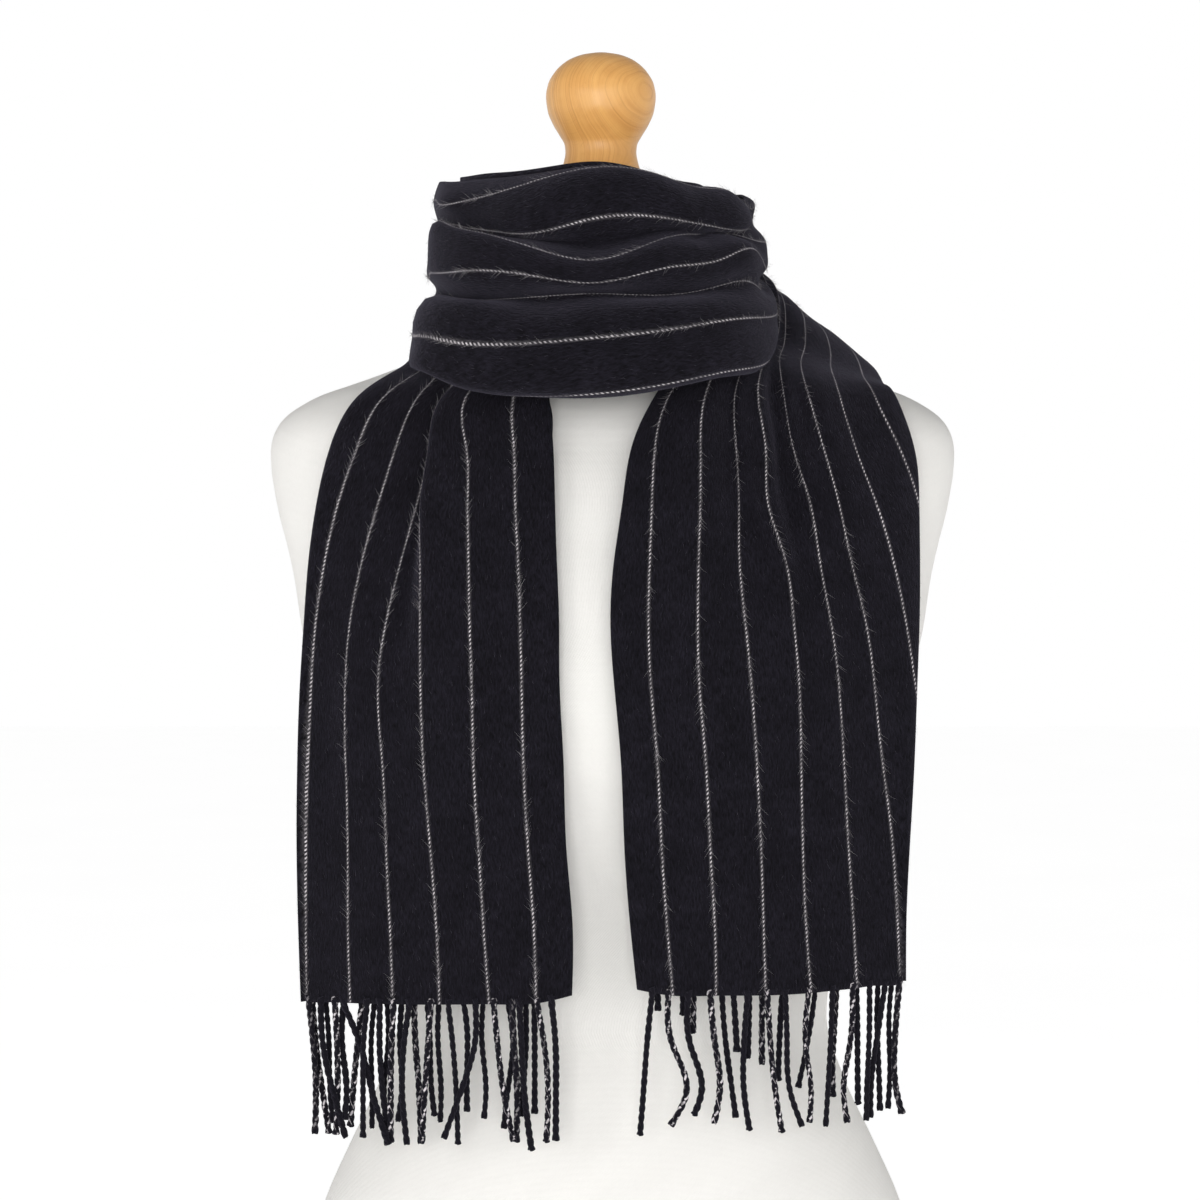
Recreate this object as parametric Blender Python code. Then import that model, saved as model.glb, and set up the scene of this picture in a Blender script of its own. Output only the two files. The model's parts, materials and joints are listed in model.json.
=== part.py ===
"""Striped cashmere scarf, wound once round the neck of a limbless dress form.

Run it with  blender --background --python part.py  or from Blender's text editor.

Lengths in the tables are millimetres; the meshes are made in metres.
Up is +Z, the front of the form faces -Y, and +X is on the right of someone looking at the front.
The origin lies on the form's flat base, midway between its sides.

The scarf is one long cloth, folded lengthwise. It is described by sections across it, in order:
left tail from its hem up, over the left shoulder, round the back of the neck (inner wrap),
across the front from right to left (loop), round the back again (outer wrap),
over the right shoulder, and down the right tail to its hem.
"""

import math

import bmesh
import bpy
import numpy as np

MM = 0.001
SHARP_ANGLE = 40          # degrees: a sharper edge stays an edge

# ------------------------------------------------------------------ driving dimensions, mm

CLOTH_WIDTH = 310.0       # selvedge to selvedge, laid flat
CLOTH_THICK = 1.3
STRIPE_PITCH = 27.0
FIRST_STRIPE = 20.0       # selvedge to the first stripe
SEAM_GAP = 0.6            # between two stretches, measured at the middle of the face
REST_GAP = 0.35           # between the cloth and the form it lies on
FACET_ROOM = 0.8          # room for the flats between the points of a solid

FRINGE_LONG = 74.0
FRINGE_THICK = 2.4
FRINGE_PITCH = 9.6
STRAND_SWAY = 1.6         # how far a strand leans to one side, at most
STRAND_LIFT = 2.0         # how far its tip hangs away from the other layer
STRAND_STEPS = (0.35, 0.7, 1.0)
BACKING_TALL = 3.0
BACKING_GAP = 0.4         # from the hem down to the fringe's backing
FRINGE_FREE = 5.0         # the last strand's backing ends this far from the fold

FORM_TOP = 680.0
CAP_RADIUS = 51.0
CAP_THICK = 11.8
WOOD_GAP = 0.3
NECK_X = -6.5             # the neck leans a little to the viewer's left
NECK_Y = 4.0
WRAP_X = -8.0             # the upright line that the wraps go round
WRAP_Y = 5.0

# Heights and places read from the front are given in a picture plane: an upright plane through
# the tails, as it is seen from the camera's place. Their real place follows from their depth.
CAMERA = np.array([-7.0, -2120.0, 473.0])
PICTURE_Y = -120.0


def table(names, *rows):
    """Rows of numbers as named columns."""
    keys = names.split()
    return {key: np.array([row[i] for row in rows], float) for i, key in enumerate(keys)}


# ------------------------------------------------------------------ the dress form

FORM = table(
    "height lean back half_width half_depth squareness",
    (0, 0, 3, 176, 100, 2.3),
    (60, 0, 5, 178, 102, 2.3),
    (100, 0, 6, 172, 101, 2.3),
    (136, 0, 5, 161.5, 98, 2.3),
    (171, 0, 3, 146, 93, 2.25),
    (205, 0, 1, 130, 88.5, 2.2),
    (240, 0, 0, 120, 86, 2.2),
    (290, 0, -1, 127, 90, 2.2),
    (345, 0, -3, 142, 99, 2.25),
    (400, 0, -5, 158.5, 107, 2.3),
    (430, 0, -5, 166.5, 107.5, 2.3),
    (456, 0, -4, 173.5, 105.5, 2.3),
    (485, 0, -3, 178, 102, 2.3),
    (505, 0, -2, 182.5, 98, 2.3),
    (520, 0, -1.5, 186.5, 94.5, 2.3),
    (532, 0, -1, 189, 91, 2.3),
    (546, 0, 0, 191.2, 86, 2.3),
    (556, 0, 1, 191.8, 82, 2.3),
    (563, 0, 1, 190.8, 79, 2.3),
    (570, 0, 1.5, 187.9, 76, 2.3),
    (576, 0, 2, 183, 73, 2.3),
    (582, 0, 2, 174.5, 69.5, 2.3),
    (588, 0, 2.5, 163, 66, 2.25),
    (592.5, 0, 3, 150, 63.5, 2.2),
    (597, 0, 3, 137, 61.5, 2.2),
    (604, 0, 3.5, 118, 58.5, 2.2),
    (612, -1, 4, 98, 56, 2.15),
    (619, -2, 4, 80, 54, 2.1),
    (625, -3, 4, 67, 53, 2.05),
    (631, -4, 4, 59.5, 52, 2.0),
    (640, -5, 4, 55.5, 51, 2.0),
    (656, -6, 4, 54, 50, 2.0),
    (FORM_TOP, NECK_X, NECK_Y, 53, 49, 2.0),
)

# The turned finial, from the foot up: radius at each height.
FINIAL = table(
    "height radius",
    (692.4, 44), (694.5, 44.6), (697, 40), (702, 31.5), (710, 24.5), (719, 21), (725, 20),
    (729, 20.4), (734, 23), (740, 26.6), (748, 29.9), (756.5, 30.9), (763, 29.8), (770, 25.9),
    (775.5, 20), (779, 12.6), (780.6, 5),
)

# ------------------------------------------------------------------ the tails, seen from the front

# Lines along the cloth, by their distance from the inner selvedge. s1 to s6 are stripes;
# the others are fold lines between them. "mid" and "roll" depend on where the cloth is folded.
LINES = ("rim", "s1", "s2", "a", "s3", "p1", "s4", "p2", "s5", "c", "s6", "mid", "roll")
BEHIND = 5                # stretches of the layer behind, from the fold to its selvedge
LINE_AT = {"rim": 0.0}
for count in range(6):
    LINE_AT[f"s{count + 1}"] = FIRST_STRIPE + count * STRIPE_PITCH
for line, stripe in (("a", "s2"), ("p1", "s3"), ("p2", "s4"), ("c", "s5")):
    LINE_AT[line] = LINE_AT[stripe] + STRIPE_PITCH / 2

# The smooth drape of a tail's face before its pleats: half width and half depth of the round
# that it lies on, by height.
DRAPE = table(
    "height half_width half_depth",
    (180, 216, 121),
    (430, 216, 121),
    (462, 216, 119),
    (494, 212, 114),
    (526, 208, 107),
    (553, 204, 97),
    (580, 198, 85),
    (605, 185, 70),
)
DRAPE_SQUARENESS = 2.3

# Across: where each line runs, by height. fold_at is how far from the selvedge the cloth is
# folded. The left tail has one pleat, between s3 and s4: deep under the loop, gone at the hem.
LEFT_TAIL = table(
    "height fold_at rim s1 s2 s3 p1 s4 s5 s6 mid edge",
    (262, 160, -21.8, -40.9, -65.8, -92.1, -104.5, -116.7, -139.0, -162.1, -163.2, -164.4),
    (300, 160, -21.5, -42.0, -68.5, -93.6, -106.0, -118.3, -140.3, -162.6, -164.4, -165.9),
    (340, 160, -24.8, -45.0, -71.3, -96.5, -108.3, -120.2, -140.3, -162.2, -164.9, -166.8),
    (388, 160, -26.4, -47.7, -74.2, -100.5, -111.5, -122.4, -141.6, -161.5, -164.4, -166.6),
    (430, 161, -28.5, -48.6, -75.0, -101.8, -113.0, -124.5, -141.5, -159.6, -162.6, -165.2),
    (462, 163, -28.7, -49.4, -76.0, -101.9, -111.0, -120.2, -139.0, -157.0, -160.4, -163.2),
    (494, 165, -29.9, -50.5, -76.5, -101.7, -106.0, -112.4, -132.9, -152.3, -157.0, -160.9),
    (526, 168, -30.9, -52.0, -77.0, -101.8, -97.5, -103.4, -123.9, -145.0, -151.2, -156.4),
    (553, 172, -31.7, -52.6, -77.7, -97.6, -90.5, -96.5, -115.4, -136.0, -143.2, -150.0),
    (580, 176, -33.7, -52.8, -78.2, -90.5, -86.0, -88.5, -103.7, -122.0, -129.4, -135.8),
)
LEFT_PLEAT = table(       # how far each line lies behind the drape
    "height s3 p1 s4 s5 s6",
    (388, 0, 0.5, 0.3, 0, 0),
    (430, 0, 2.0, 1.2, 0, 0),
    (462, 0, 4.5, 3.0, 1.0, 0),
    (494, 0.5, 7.5, 6.0, 2.5, 1),
    (526, 1.8, 6.0, 9.0, 5.0, 1.5),
    (553, 2.6, 6.2, 9.6, 7.0, 2),
    (580, 2.6, 6.2, 9.6, 8.0, 3),
)

# The right tail has two soft valleys, on s3 and beside s5, and a ridge on s6 where the cloth
# comes over the shoulder.
RIGHT_TAIL = table(
    "height fold_at rim s1 s2 s3 s4 p2 s5 s6 mid edge",
    (262, 159.5, 12.6, 31.7, 54.5, 80.7, 104.8, 117.0, 129.2, 152.0, 153.0, 153.9),
    (300, 160, 8.7, 28.5, 53.8, 79.6, 101.9, 114.5, 127.1, 150.1, 152.4, 154.7),
    (340, 166, 5.9, 25.7, 51.5, 78.4, 100.3, 112.2, 124.2, 147.7, 152.4, 156.7),
    (388, 174, 4.0, 23.3, 49.0, 75.9, 99.4, 110.6, 121.8, 142.5, 150.7, 159.3),
    (430, 186, 0.3, 19.8, 45.5, 73.0, 98.5, 109.0, 119.1, 138.0, 149.4, 160.9),
    (462, 194, -1.5, 18.7, 44.8, 69.6, 95.6, 105.3, 115.0, 133.3, 147.5, 162.0),
    (494, 202, 0.4, 19.4, 45.1, 66.6, 91.4, 99.5, 109.6, 125.8, 144.3, 162.2),
    (526, 212, 5.0, 20.5, 46.0, 66.6, 81.6, 92.5, 104.3, 119.1, 139.0, 161.8),
    (553, 221, 9.4, 22.0, 46.1, 65.2, 80.5, 88.6, 95.8, 111.7, 131.6, 159.4),
    (580, 228, 21.4, 29.0, 48.4, 64.4, 76.6, 84.5, 89.9, 104.0, 125.5, 150.0),
)
RIGHT_PLEAT = table(
    "height s1 s3 s4 p2 s5 s6 mid",
    (388, 0, 0, 0, 0, 0, 0, 0),
    (430, 0, 0.4, 0, 0.4, 0, 0, 0),
    (462, 0, 1.2, 0, 1.5, 0.5, -0.5, -1),
    (494, 0, 3.0, 0.5, 4.5, 1.0, -1.5, -2),
    (526, 0, 6.0, 3.0, 9.5, 2.5, -3.5, -3),
    (553, 0.5, 7.5, 2.0, 10.0, 7.0, -4.5, -3),
    (580, 3.0, 7.5, 1.0, 9.5, 8.0, -3.5, -2),
)

# The hems: height of the cloth's edge, by distance from the inner selvedge.
LEFT_HEM = table("across height", (0, 263.5), (8, 259.5), (80, 258.5), (160, 260.5), (240, 265),
                 (302, 269), (310, 272))
RIGHT_HEM = table("across height", (0, 266.5), (8, 263.2), (80, 263.5), (120, 266.5), (158, 271),
                  (210, 288), (260, 309), (302, 327), (310, 331))
HEM_REACH = 388.0         # above this height the sections are level
TAIL_FOLD_RADIUS = 2.0
BEHIND_PLEATS = 1.6       # how soon the layer behind is back by the depth of the deepest pleat
LINING_LOW = 0.33         # height of the middle of the layer behind, from the fold to the rim

# ------------------------------------------------------------------ the loop, seen from the front

# Height of each line in the picture plane, by how far across the picture it is.
LOOP_HEIGHT = table(
    "across rim s1 s2 a s3 p1 s4 p2 s5 c s6 mid edge",
    (-106, 691.0, 680.0, 676.0, 673.5, 671.0, 660.0, 646.5, 641.0, 637.5, 632.0, 613.5, 609.0, 605.5),
    (-95, 691.5, 681.3, 676.0, 673.3, 670.7, 659.6, 646.3, 640.5, 637.3, 631.5, 611.5, 605.0, 600.5),
    (-73, 694.2, 685.0, 671.2, 669.6, 667.5, 658.0, 647.9, 636.8, 633.1, 628.8, 608.2, 600.0, 589.8),
    (-47, 697.5, 693.0, 667.5, 663.8, 660.1, 653.2, 645.8, 637.8, 633.6, 624.6, 608.7, 598.5, 586.0),
    (-20, 701.6, 700.4, 673.3, 663.3, 655.3, 649.0, 642.1, 637.8, 635.2, 626.2, 610.5, 600.5, 584.2),
    (-7, 702.1, 702.0, 676.0, 662.2, 652.7, 646.8, 641.5, 637.8, 635.7, 627.8, 611.9, 602.0, 583.2),
    (20, 697.0, 699.0, 676.5, 668.0, 662.2, 655.9, 648.7, 641.0, 634.4, 629.9, 614.5, 605.0, 586.6),
    (46, 690.0, 691.1, 671.8, 668.6, 665.9, 660.1, 650.3, 642.1, 637.3, 632.5, 618.8, 610.0, 592.9),
    (67, 686.0, 686.9, 667.5, 666.9, 666.2, 664.9, 658.0, 649.0, 641.8, 633.3, 621.9, 614.0, 594.9),
    (86, 680.0, 681.0, 665.4, 665.9, 666.5, 665.5, 662.2, 652.1, 642.6, 634.1, 623.0, 617.0, 606.0),
)

# Distance of each line from the upright line, by angle from the front, positive to the right.
# "edge" is the middle of the bottom roll and "roll_radius" its radius; "lining_low" and
# "lining_top" are the layer behind.
LOOP_REACH = table(
    "angle rim s1 s2 a s3 p1 s4 p2 s5 c s6 mid edge roll_radius fold_at lining_low lining_top",
    (-62, 89, 97, 90, 91, 101, 105, 104, 98, 92, 101, 115, 115, 103, 9.5, 180, 84, 80),
    (-50, 86, 96, 92, 93, 106, 111, 111, 103, 96, 109, 125, 126, 113, 11, 183, 88, 80),
    (-35, 86, 97, 98, 97, 110, 116, 117, 107, 100, 115, 130, 131, 116, 12, 187, 90, 80),
    (-18, 85, 97, 106, 99, 112, 118, 118, 109, 102, 118, 132, 133, 118, 13, 191, 91, 79),
    (0, 84, 97, 107, 100, 112, 117, 117, 109, 103, 118, 131, 133, 118, 13, 193, 91, 78),
    (18, 84, 97, 107, 100, 110, 117, 118, 112, 104, 118, 131, 132, 117, 13, 193, 91, 78),
    (35, 84, 95, 104, 99, 100, 110, 115, 112, 105, 115, 126, 127, 113, 12, 191, 88, 78),
    (50, 84, 95, 103, 95, 92, 103, 110, 111, 106, 111, 119, 118, 107, 10, 189, 82, 75),
)

# ------------------------------------------------------------------ shoulders and back

# Sections by angle: the first angle is at the rim, the second at the folded edge. Each line has
# a distance from the upright line and a height. The inner and outer wraps come from these too.
SHOULDER_LEFT = table(
    "rim_angle edge_angle fold_at roll_radius rim_r rim_z s2_r s2_z s4_r s4_z s6_r s6_z edge_r edge_z"
    " low_r top_r",
    (-31, -69, 177, 2.0, 64, 618, 79, 608, 92, 604, 104, 602, 116, 600, 0, 0),
    (-47, -75, 178, 2.4, 62, 637.5, 72, 621, 86, 614, 97.5, 609, 107, 605.3, 0, 0),
    (-62, -80, 178, 2.5, 63, 656, 71.5, 632, 80.5, 620.5, 91, 613.5, 99, 609.5, 0, 0),
    (-76, -87, 178, 2.3, 62, 676, 68, 649, 75.5, 632, 85, 622, 93, 615.5, 59, 57.5),
    (-90, -94, 178, 2.2, 62, 690, 66, 662, 71, 641, 78, 627, 86, 620, 58, 57.5),
    (-118, -118, 178, 3.0, 64, 699, 68, 670, 72, 647, 78, 632, 82, 622, 61, 58.5),
)
WRAP_INNER = table(
    "rim_angle edge_angle fold_at roll_radius rim_r rim_z s2_r s2_z s4_r s4_z s6_r s6_z edge_r edge_z"
    " low_r top_r",
    (-148, -148, 180, 4.0, 64, 703, 69, 681, 72, 657, 76, 635, 73, 620, 61, 58.5),
    (-180, -180, 182, 4.5, 64, 704, 69, 683, 72, 659, 76, 636, 72, 619, 61, 58.5),
    (-212, -212, 184, 4.0, 64, 704, 69, 685, 72, 662, 76, 641, 73, 626, 61, 58.5),
    (-242, -242, 185, 3.5, 65, 702, 70, 688, 74, 668, 77, 650, 74, 638, 62, 59.5),
)
LOOP_RIGHT = table(
    "rim_angle edge_angle fold_at roll_radius rim_r rim_z s2_r s2_z s4_r s4_z s6_r s6_z edge_r edge_z"
    " low_r top_r",
    (95, 95, 186, 4.0, 74, 701, 83, 692, 81, 673, 81, 657, 76, 644, 64, 62),
    (85, 85, 187, 5.0, 80, 700, 90, 690, 88, 668, 89, 650, 82, 636, 66, 64),
    (75, 75, 187, 6.5, 84, 697, 95, 687, 96, 662, 99, 642, 90, 627, 70, 67),
    (64, 64, 188, 8.0, 86, 693, 100, 682, 103, 656, 109, 632, 98, 616.5, 76, 71),
)
LOOP_LEFT = table(
    "rim_angle edge_angle fold_at roll_radius rim_r rim_z s2_r s2_z s4_r s4_z s6_r s6_z edge_r edge_z"
    " low_r top_r",
    (-76, -76, 178, 7.5, 89, 706, 96, 682, 97, 653, 104, 629, 95, 619, 80, 78),
    (-90, -90, 177, 7.0, 89, 707, 95, 683, 96, 655, 102, 631, 94, 620, 79, 77),
    (-105, -105, 177, 7.0, 87, 705, 94, 683, 96, 656, 103, 630, 97, 615, 80, 77),
)
WRAP_OUTER = table(
    "rim_angle edge_angle fold_at roll_radius rim_r rim_z s2_r s2_z s4_r s4_z s6_r s6_z edge_r edge_z"
    " low_r top_r",
    (-130, -130, 180, 7.5, 84, 699, 92, 680, 98, 655, 105, 626, 99, 606, 81, 78),
    (-155, -155, 185, 8.0, 84, 695, 92, 677, 98, 651, 105, 620, 98, 597, 82, 78),
    (-180, -180, 192, 8.5, 84, 692, 92, 675, 98, 649, 105, 616, 97, 591, 82, 78),
    (-207, -207, 200, 8.5, 84, 689, 92, 673, 98, 648, 105, 618, 98, 597, 83, 78),
    (-232, -232, 212, 6.5, 84, 684, 92, 667, 99, 648, 108, 626, 109, 605, 83.5, 75),
)
SHOULDER_RIGHT = table(
    "rim_angle edge_angle fold_at roll_radius rim_r rim_z s2_r s2_z s4_r s4_z s6_r s6_z edge_r edge_z"
    " low_r top_r",
    (105, 105, 222, 4.4, 84, 672, 91, 664, 100, 656, 112, 643, 136, 617, 0, 0),
    (96, 97, 226, 3.0, 88, 649, 94, 647, 102, 647, 115, 637, 143, 612, 0, 0),
    (85, 90, 228, 2.4, 86, 630, 93, 629, 102, 631, 116, 627, 150, 605, 0, 0),
    (74, 83, 228, 2.0, 81, 625.5, 91, 620.5, 102, 617, 117, 615, 156, 599, 0, 0),
    (59, 76, 228, 2.0, 75, 624, 89, 613, 103, 607, 119, 606, 162, 591, 0, 0),
)

# Two soft valleys carry on round the sides and the back of the neck.
VALLEYS = table(
    "line width depth",
    (54, 15, 8),
    (122, 13, 9),
)

# ------------------------------------------------------------------ small tools


def smooth(at, values, x):
    """A curve through the values that never overshoots them (monotone cubic)."""
    at = np.asarray(at, float)
    values = np.asarray(values, float)
    flat = values.ndim == 1
    values = values.reshape(len(at), -1)
    x = np.atleast_1d(np.asarray(x, float))
    step = np.diff(at)[:, None]
    slope = np.diff(values, axis=0) / step
    tangent = np.zeros_like(values)
    left, right = slope[:-1], slope[1:]
    same_way = left * right > 0
    weight = np.where(same_way, left + right, 1.0)
    tangent[1:-1] = np.where(same_way, 2 * left * right / weight, 0.0)
    tangent[0], tangent[-1] = slope[0], slope[-1]
    k = np.clip(np.searchsorted(at, x) - 1, 0, len(at) - 2)
    t = np.clip((x - at[k]) / step[k, 0], 0, 1)[:, None]
    h = step[k]
    result = (values[k] * (1 + 2 * t) * (1 - t) ** 2 + tangent[k] * h * t * (1 - t) ** 2
              + values[k + 1] * t * t * (3 - 2 * t) - tangent[k + 1] * h * t * t * (1 - t))
    return result[:, 0] if flat else result


def spline(at, values, x):
    """A natural cubic spline through rows of values."""
    n = len(at)
    h = np.diff(at)
    matrix = np.zeros((n, n))
    target = np.zeros((n, values.shape[1]))
    matrix[0, 0] = matrix[-1, -1] = 1
    for i in range(1, n - 1):
        matrix[i, i - 1] = h[i - 1]
        matrix[i, i] = 2 * (h[i - 1] + h[i])
        matrix[i, i + 1] = h[i]
        rise = (values[i + 1] - values[i]) / h[i] - (values[i] - values[i - 1]) / h[i - 1]
        target[i] = 6 * rise
    bend = np.linalg.solve(matrix, target)
    x = np.atleast_1d(x)
    k = np.clip(np.searchsorted(at, x) - 1, 0, n - 2)
    h = h[k][:, None]
    a = (at[k + 1] - x)[:, None] / h
    b = 1 - a
    return (a * values[k] + b * values[k + 1]
            + ((a ** 3 - a) * bend[k] + (b ** 3 - b) * bend[k + 1]) * h * h / 6)


def unit(vector):
    return vector / np.linalg.norm(vector)


def form_at(height):
    return [float(smooth(FORM["height"], FORM[key], height)[0])
            for key in ("lean", "back", "half_width", "half_depth", "squareness")]


def form_measure(point):
    """Below 0 inside the form, above 0 outside it."""
    lean, back, width, depth, power = form_at(point[2])
    x = abs(point[0] - lean) / width
    y = abs(point[1] - back) / depth
    return (x ** power + y ** power) ** (1 / power) - 1


def clear_of_form(point, gap):
    """Push a point straight out of the form until it is clear by the gap."""
    point = np.array(point, float)
    for _ in range(6):
        here = form_measure(point)
        slope = np.array([form_measure(point + step) - here for step in np.eye(3) * 0.5]) / 0.5
        steep = np.linalg.norm(slope)
        short = gap - here / steep
        if short <= 0.01:
            break
        point = point + slope / steep * short
    return point


def along_sight(across, height, y):
    """The real point at depth y that is seen at this place in the picture plane."""
    reach = (y - CAMERA[1]) / (PICTURE_Y - CAMERA[1])
    return np.array([CAMERA[0] + (across - CAMERA[0]) * reach, y,
                     CAMERA[2] + (height - CAMERA[2]) * reach])


def around(angle, radius, height):
    """A point at an angle round the neck, measured from the front towards the right."""
    turn = math.radians(angle)
    return np.array([WRAP_X + radius * math.sin(turn), WRAP_Y - radius * math.cos(turn), height])


# ------------------------------------------------------------------ sections of the cloth


def section(points, fold_at, roll_radius, edge, inward, lining):
    """One section across the doubled cloth: its face, the folded edge, and the layer behind.

    points   the lines of the face that are known, by name
    edge     the outermost point of the fold
    inward   the way from the face to the layer behind
    lining   a function of (line distance, gap) or a list of points from the fold to the selvedge
    """
    before = points["mid"] if "mid" in points else points["s6"]
    out = unit(edge - before)
    inward = unit(inward - out * np.dot(inward, out))
    centre = edge - out * roll_radius
    roll_at = fold_at - roll_radius * math.pi / 2
    at = {**LINE_AT, "mid": (LINE_AT["s6"] + roll_at) / 2, "roll": roll_at}
    points = {**points, "roll": centre - inward * roll_radius}
    known = [name for name in LINES if name in points]
    face = smooth([at[name] for name in known], [points[name] for name in known],
                  [at[name] for name in LINES])
    turn = np.radians([45, 90, 135])[:, None]
    arc = centre + roll_radius * (out * np.sin(turn) - inward * np.cos(turn))
    start = centre + inward * roll_radius
    start_at = fold_at + roll_radius * math.pi / 2
    lining_at = np.linspace(start_at, CLOTH_WIDTH, BEHIND + 1)
    if callable(lining):
        behind = [lining(2 * fold_at - u, inward) for u in lining_at[1:]]
    else:
        behind = smooth(np.linspace(start_at, CLOTH_WIDTH, len(lining) + 1), [start, *lining],
                        lining_at[1:])
    place = np.vstack([face, arc, start, behind])
    width_at = np.concatenate([[at[name] for name in LINES],
                               fold_at + roll_radius * np.radians([-45, 0, 45]), lining_at])
    return place, width_at


def drape_y(x, z):
    width = smooth(DRAPE["height"], DRAPE["half_width"], z)[0]
    depth = smooth(DRAPE["height"], DRAPE["half_depth"], z)[0]
    side = min(abs(x) / width, 0.999) ** DRAPE_SQUARENESS
    return -depth * (1 - side) ** (1 / DRAPE_SQUARENESS)


def on_drape(across, height, behind):
    """A point of the tail's face, at its place in the picture plane."""
    point = along_sight(across, height, PICTURE_Y)
    for _ in range(4):
        point = along_sight(across, height, drape_y(point[0], point[2]) + behind)
    return point


def tail_sections(tail, pleat, hem):
    """The sections of a tail from its hem up to the loop."""
    made = []
    for row, height in enumerate(tail["height"]):
        fold_at = tail["fold_at"][row]

        def level(u):
            if height >= HEM_REACH:
                return height
            low = smooth(hem["across"], hem["height"], u)[0]
            return low + (HEM_REACH - low) * (height - tail["height"][0]) / (
                HEM_REACH - tail["height"][0])

        def depth(name):
            if name not in pleat or height < pleat["height"][0]:
                return 0.0
            return float(smooth(pleat["height"], pleat[name], height)[0])

        side = np.sign(tail["edge"][row])
        skin = side * CLOTH_THICK / 2     # the fold is seen at its outer face
        points = {}
        for name in [name for name in LINES if name in tail]:
            at = LINE_AT.get(name, (LINE_AT["s6"] + fold_at) / 2)
            inset = skin if name == "mid" else 0
            points[name] = on_drape(tail[name][row] - inset, level(at), depth(name))
        edge = on_drape(tail["edge"][row] - skin, level(fold_at), TAIL_FOLD_RADIUS)
        inner_edge = tail["rim"][row]
        deepest = max(0.0, *[depth(name) for name in pleat if name in LINES])

        def lining(u, inward):
            """The layer behind, at the same distance from the fold as the face's line u."""
            share = (fold_at - u) / fold_at
            across = tail["edge"][row] - side * 0.93 * (fold_at - u)
            across = max(across, inner_edge + 1) if side > 0 else min(across, inner_edge - 1)
            room = 2 * TAIL_FOLD_RADIUS + deepest * min(1.0, BEHIND_PLEATS * math.sin(math.pi * share))
            point = on_drape(across, level(2 * fold_at - u), room)
            return clear_of_form(point, CLOTH_THICK / 2 + REST_GAP)

        made.append(section(points, fold_at, TAIL_FOLD_RADIUS, edge, np.array([0, 1.0, 0]), lining))
    return made


def loop_sections():
    """The front of the loop, from right to left."""
    made = []
    for row in range(len(LOOP_REACH["angle"]) - 1, -1, -1):
        angle = LOOP_REACH["angle"][row]
        points = {}
        for name in [*LINES[:-1], "edge"]:
            flat = around(angle, LOOP_REACH[name][row], 0)
            across = CAMERA[0] + (flat[0] - CAMERA[0]) * (PICTURE_Y - CAMERA[1]) / (
                flat[1] - CAMERA[1])
            height = smooth(LOOP_HEIGHT["across"], LOOP_HEIGHT[name], across)[0]
            points[name] = along_sight(across, height, flat[1])
        edge = points.pop("edge")
        inward = around(angle, 0, 0) - around(angle, 1, 0)
        top = around(angle, LOOP_REACH["lining_top"][row], points["rim"][2] + 4)
        low = around(angle, LOOP_REACH["lining_low"][row], edge[2] + (top[2] - edge[2]) * LINING_LOW)
        made.append(section(points, LOOP_REACH["fold_at"][row], LOOP_REACH["roll_radius"][row],
                            edge, inward, [low, top]))
    return made


def wrap_sections(rows, valley=1.0):
    """Sections round the neck or over a shoulder, in the order of the table."""
    made = []
    for row in range(len(rows["rim_angle"])):
        start, end = rows["rim_angle"][row], rows["edge_angle"][row]
        fold_at = rows["fold_at"][row]
        known = {"rim": 0, "s2": LINE_AT["s2"], "s4": LINE_AT["s4"], "s6": LINE_AT["s6"]}
        lines = list(known.values()) + [fold_at]
        radii = [rows[name + "_r"][row] for name in (*known, "edge")]
        heights = [rows[name + "_z"][row] for name in (*known, "edge")]

        def base(u):
            angle = start + (end - start) * min(u / fold_at, 1)
            radius = smooth(lines, radii, u)[0]
            for line, width, depth in zip(*VALLEYS.values()):
                radius -= valley * depth * math.exp(-((u - line) / width) ** 2)
            return around(angle, radius, smooth(lines, heights, u)[0])

        points = {name: base(at) for name, at in LINE_AT.items()}
        edge = base(fold_at)
        wrapped = rows["low_r"][row] > 0
        middle = (start + end) / 2
        if wrapped:
            inward = around(end, 0, 0) - around(end, 1, 0)
            top = around(start, rows["top_r"][row], rows["rim_z"][row] + 3)
            low = around(middle, rows["low_r"][row], edge[2] + (top[2] - edge[2]) * LINING_LOW)
            lining = [low, top]
        else:
            inward = np.array([0, 0, -1.0])

            def lining(u, inward, base=base):
                at = max(u, 0)
                slope = unit(base(at + 4) - base(max(at - 4, 0)))
                inward = unit(inward - slope * np.dot(inward, slope))
                point = base(at) + inward * 2 * rows["roll_radius"][row]
                return clear_of_form(point, CLOTH_THICK / 2 + REST_GAP)

            points = {name: clear_of_form(point, CLOTH_THICK * 1.5 + 2 * REST_GAP)
                      for name, point in points.items()}
        made.append(section(points, fold_at, rows["roll_radius"][row], edge, inward, lining))
    return made


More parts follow.
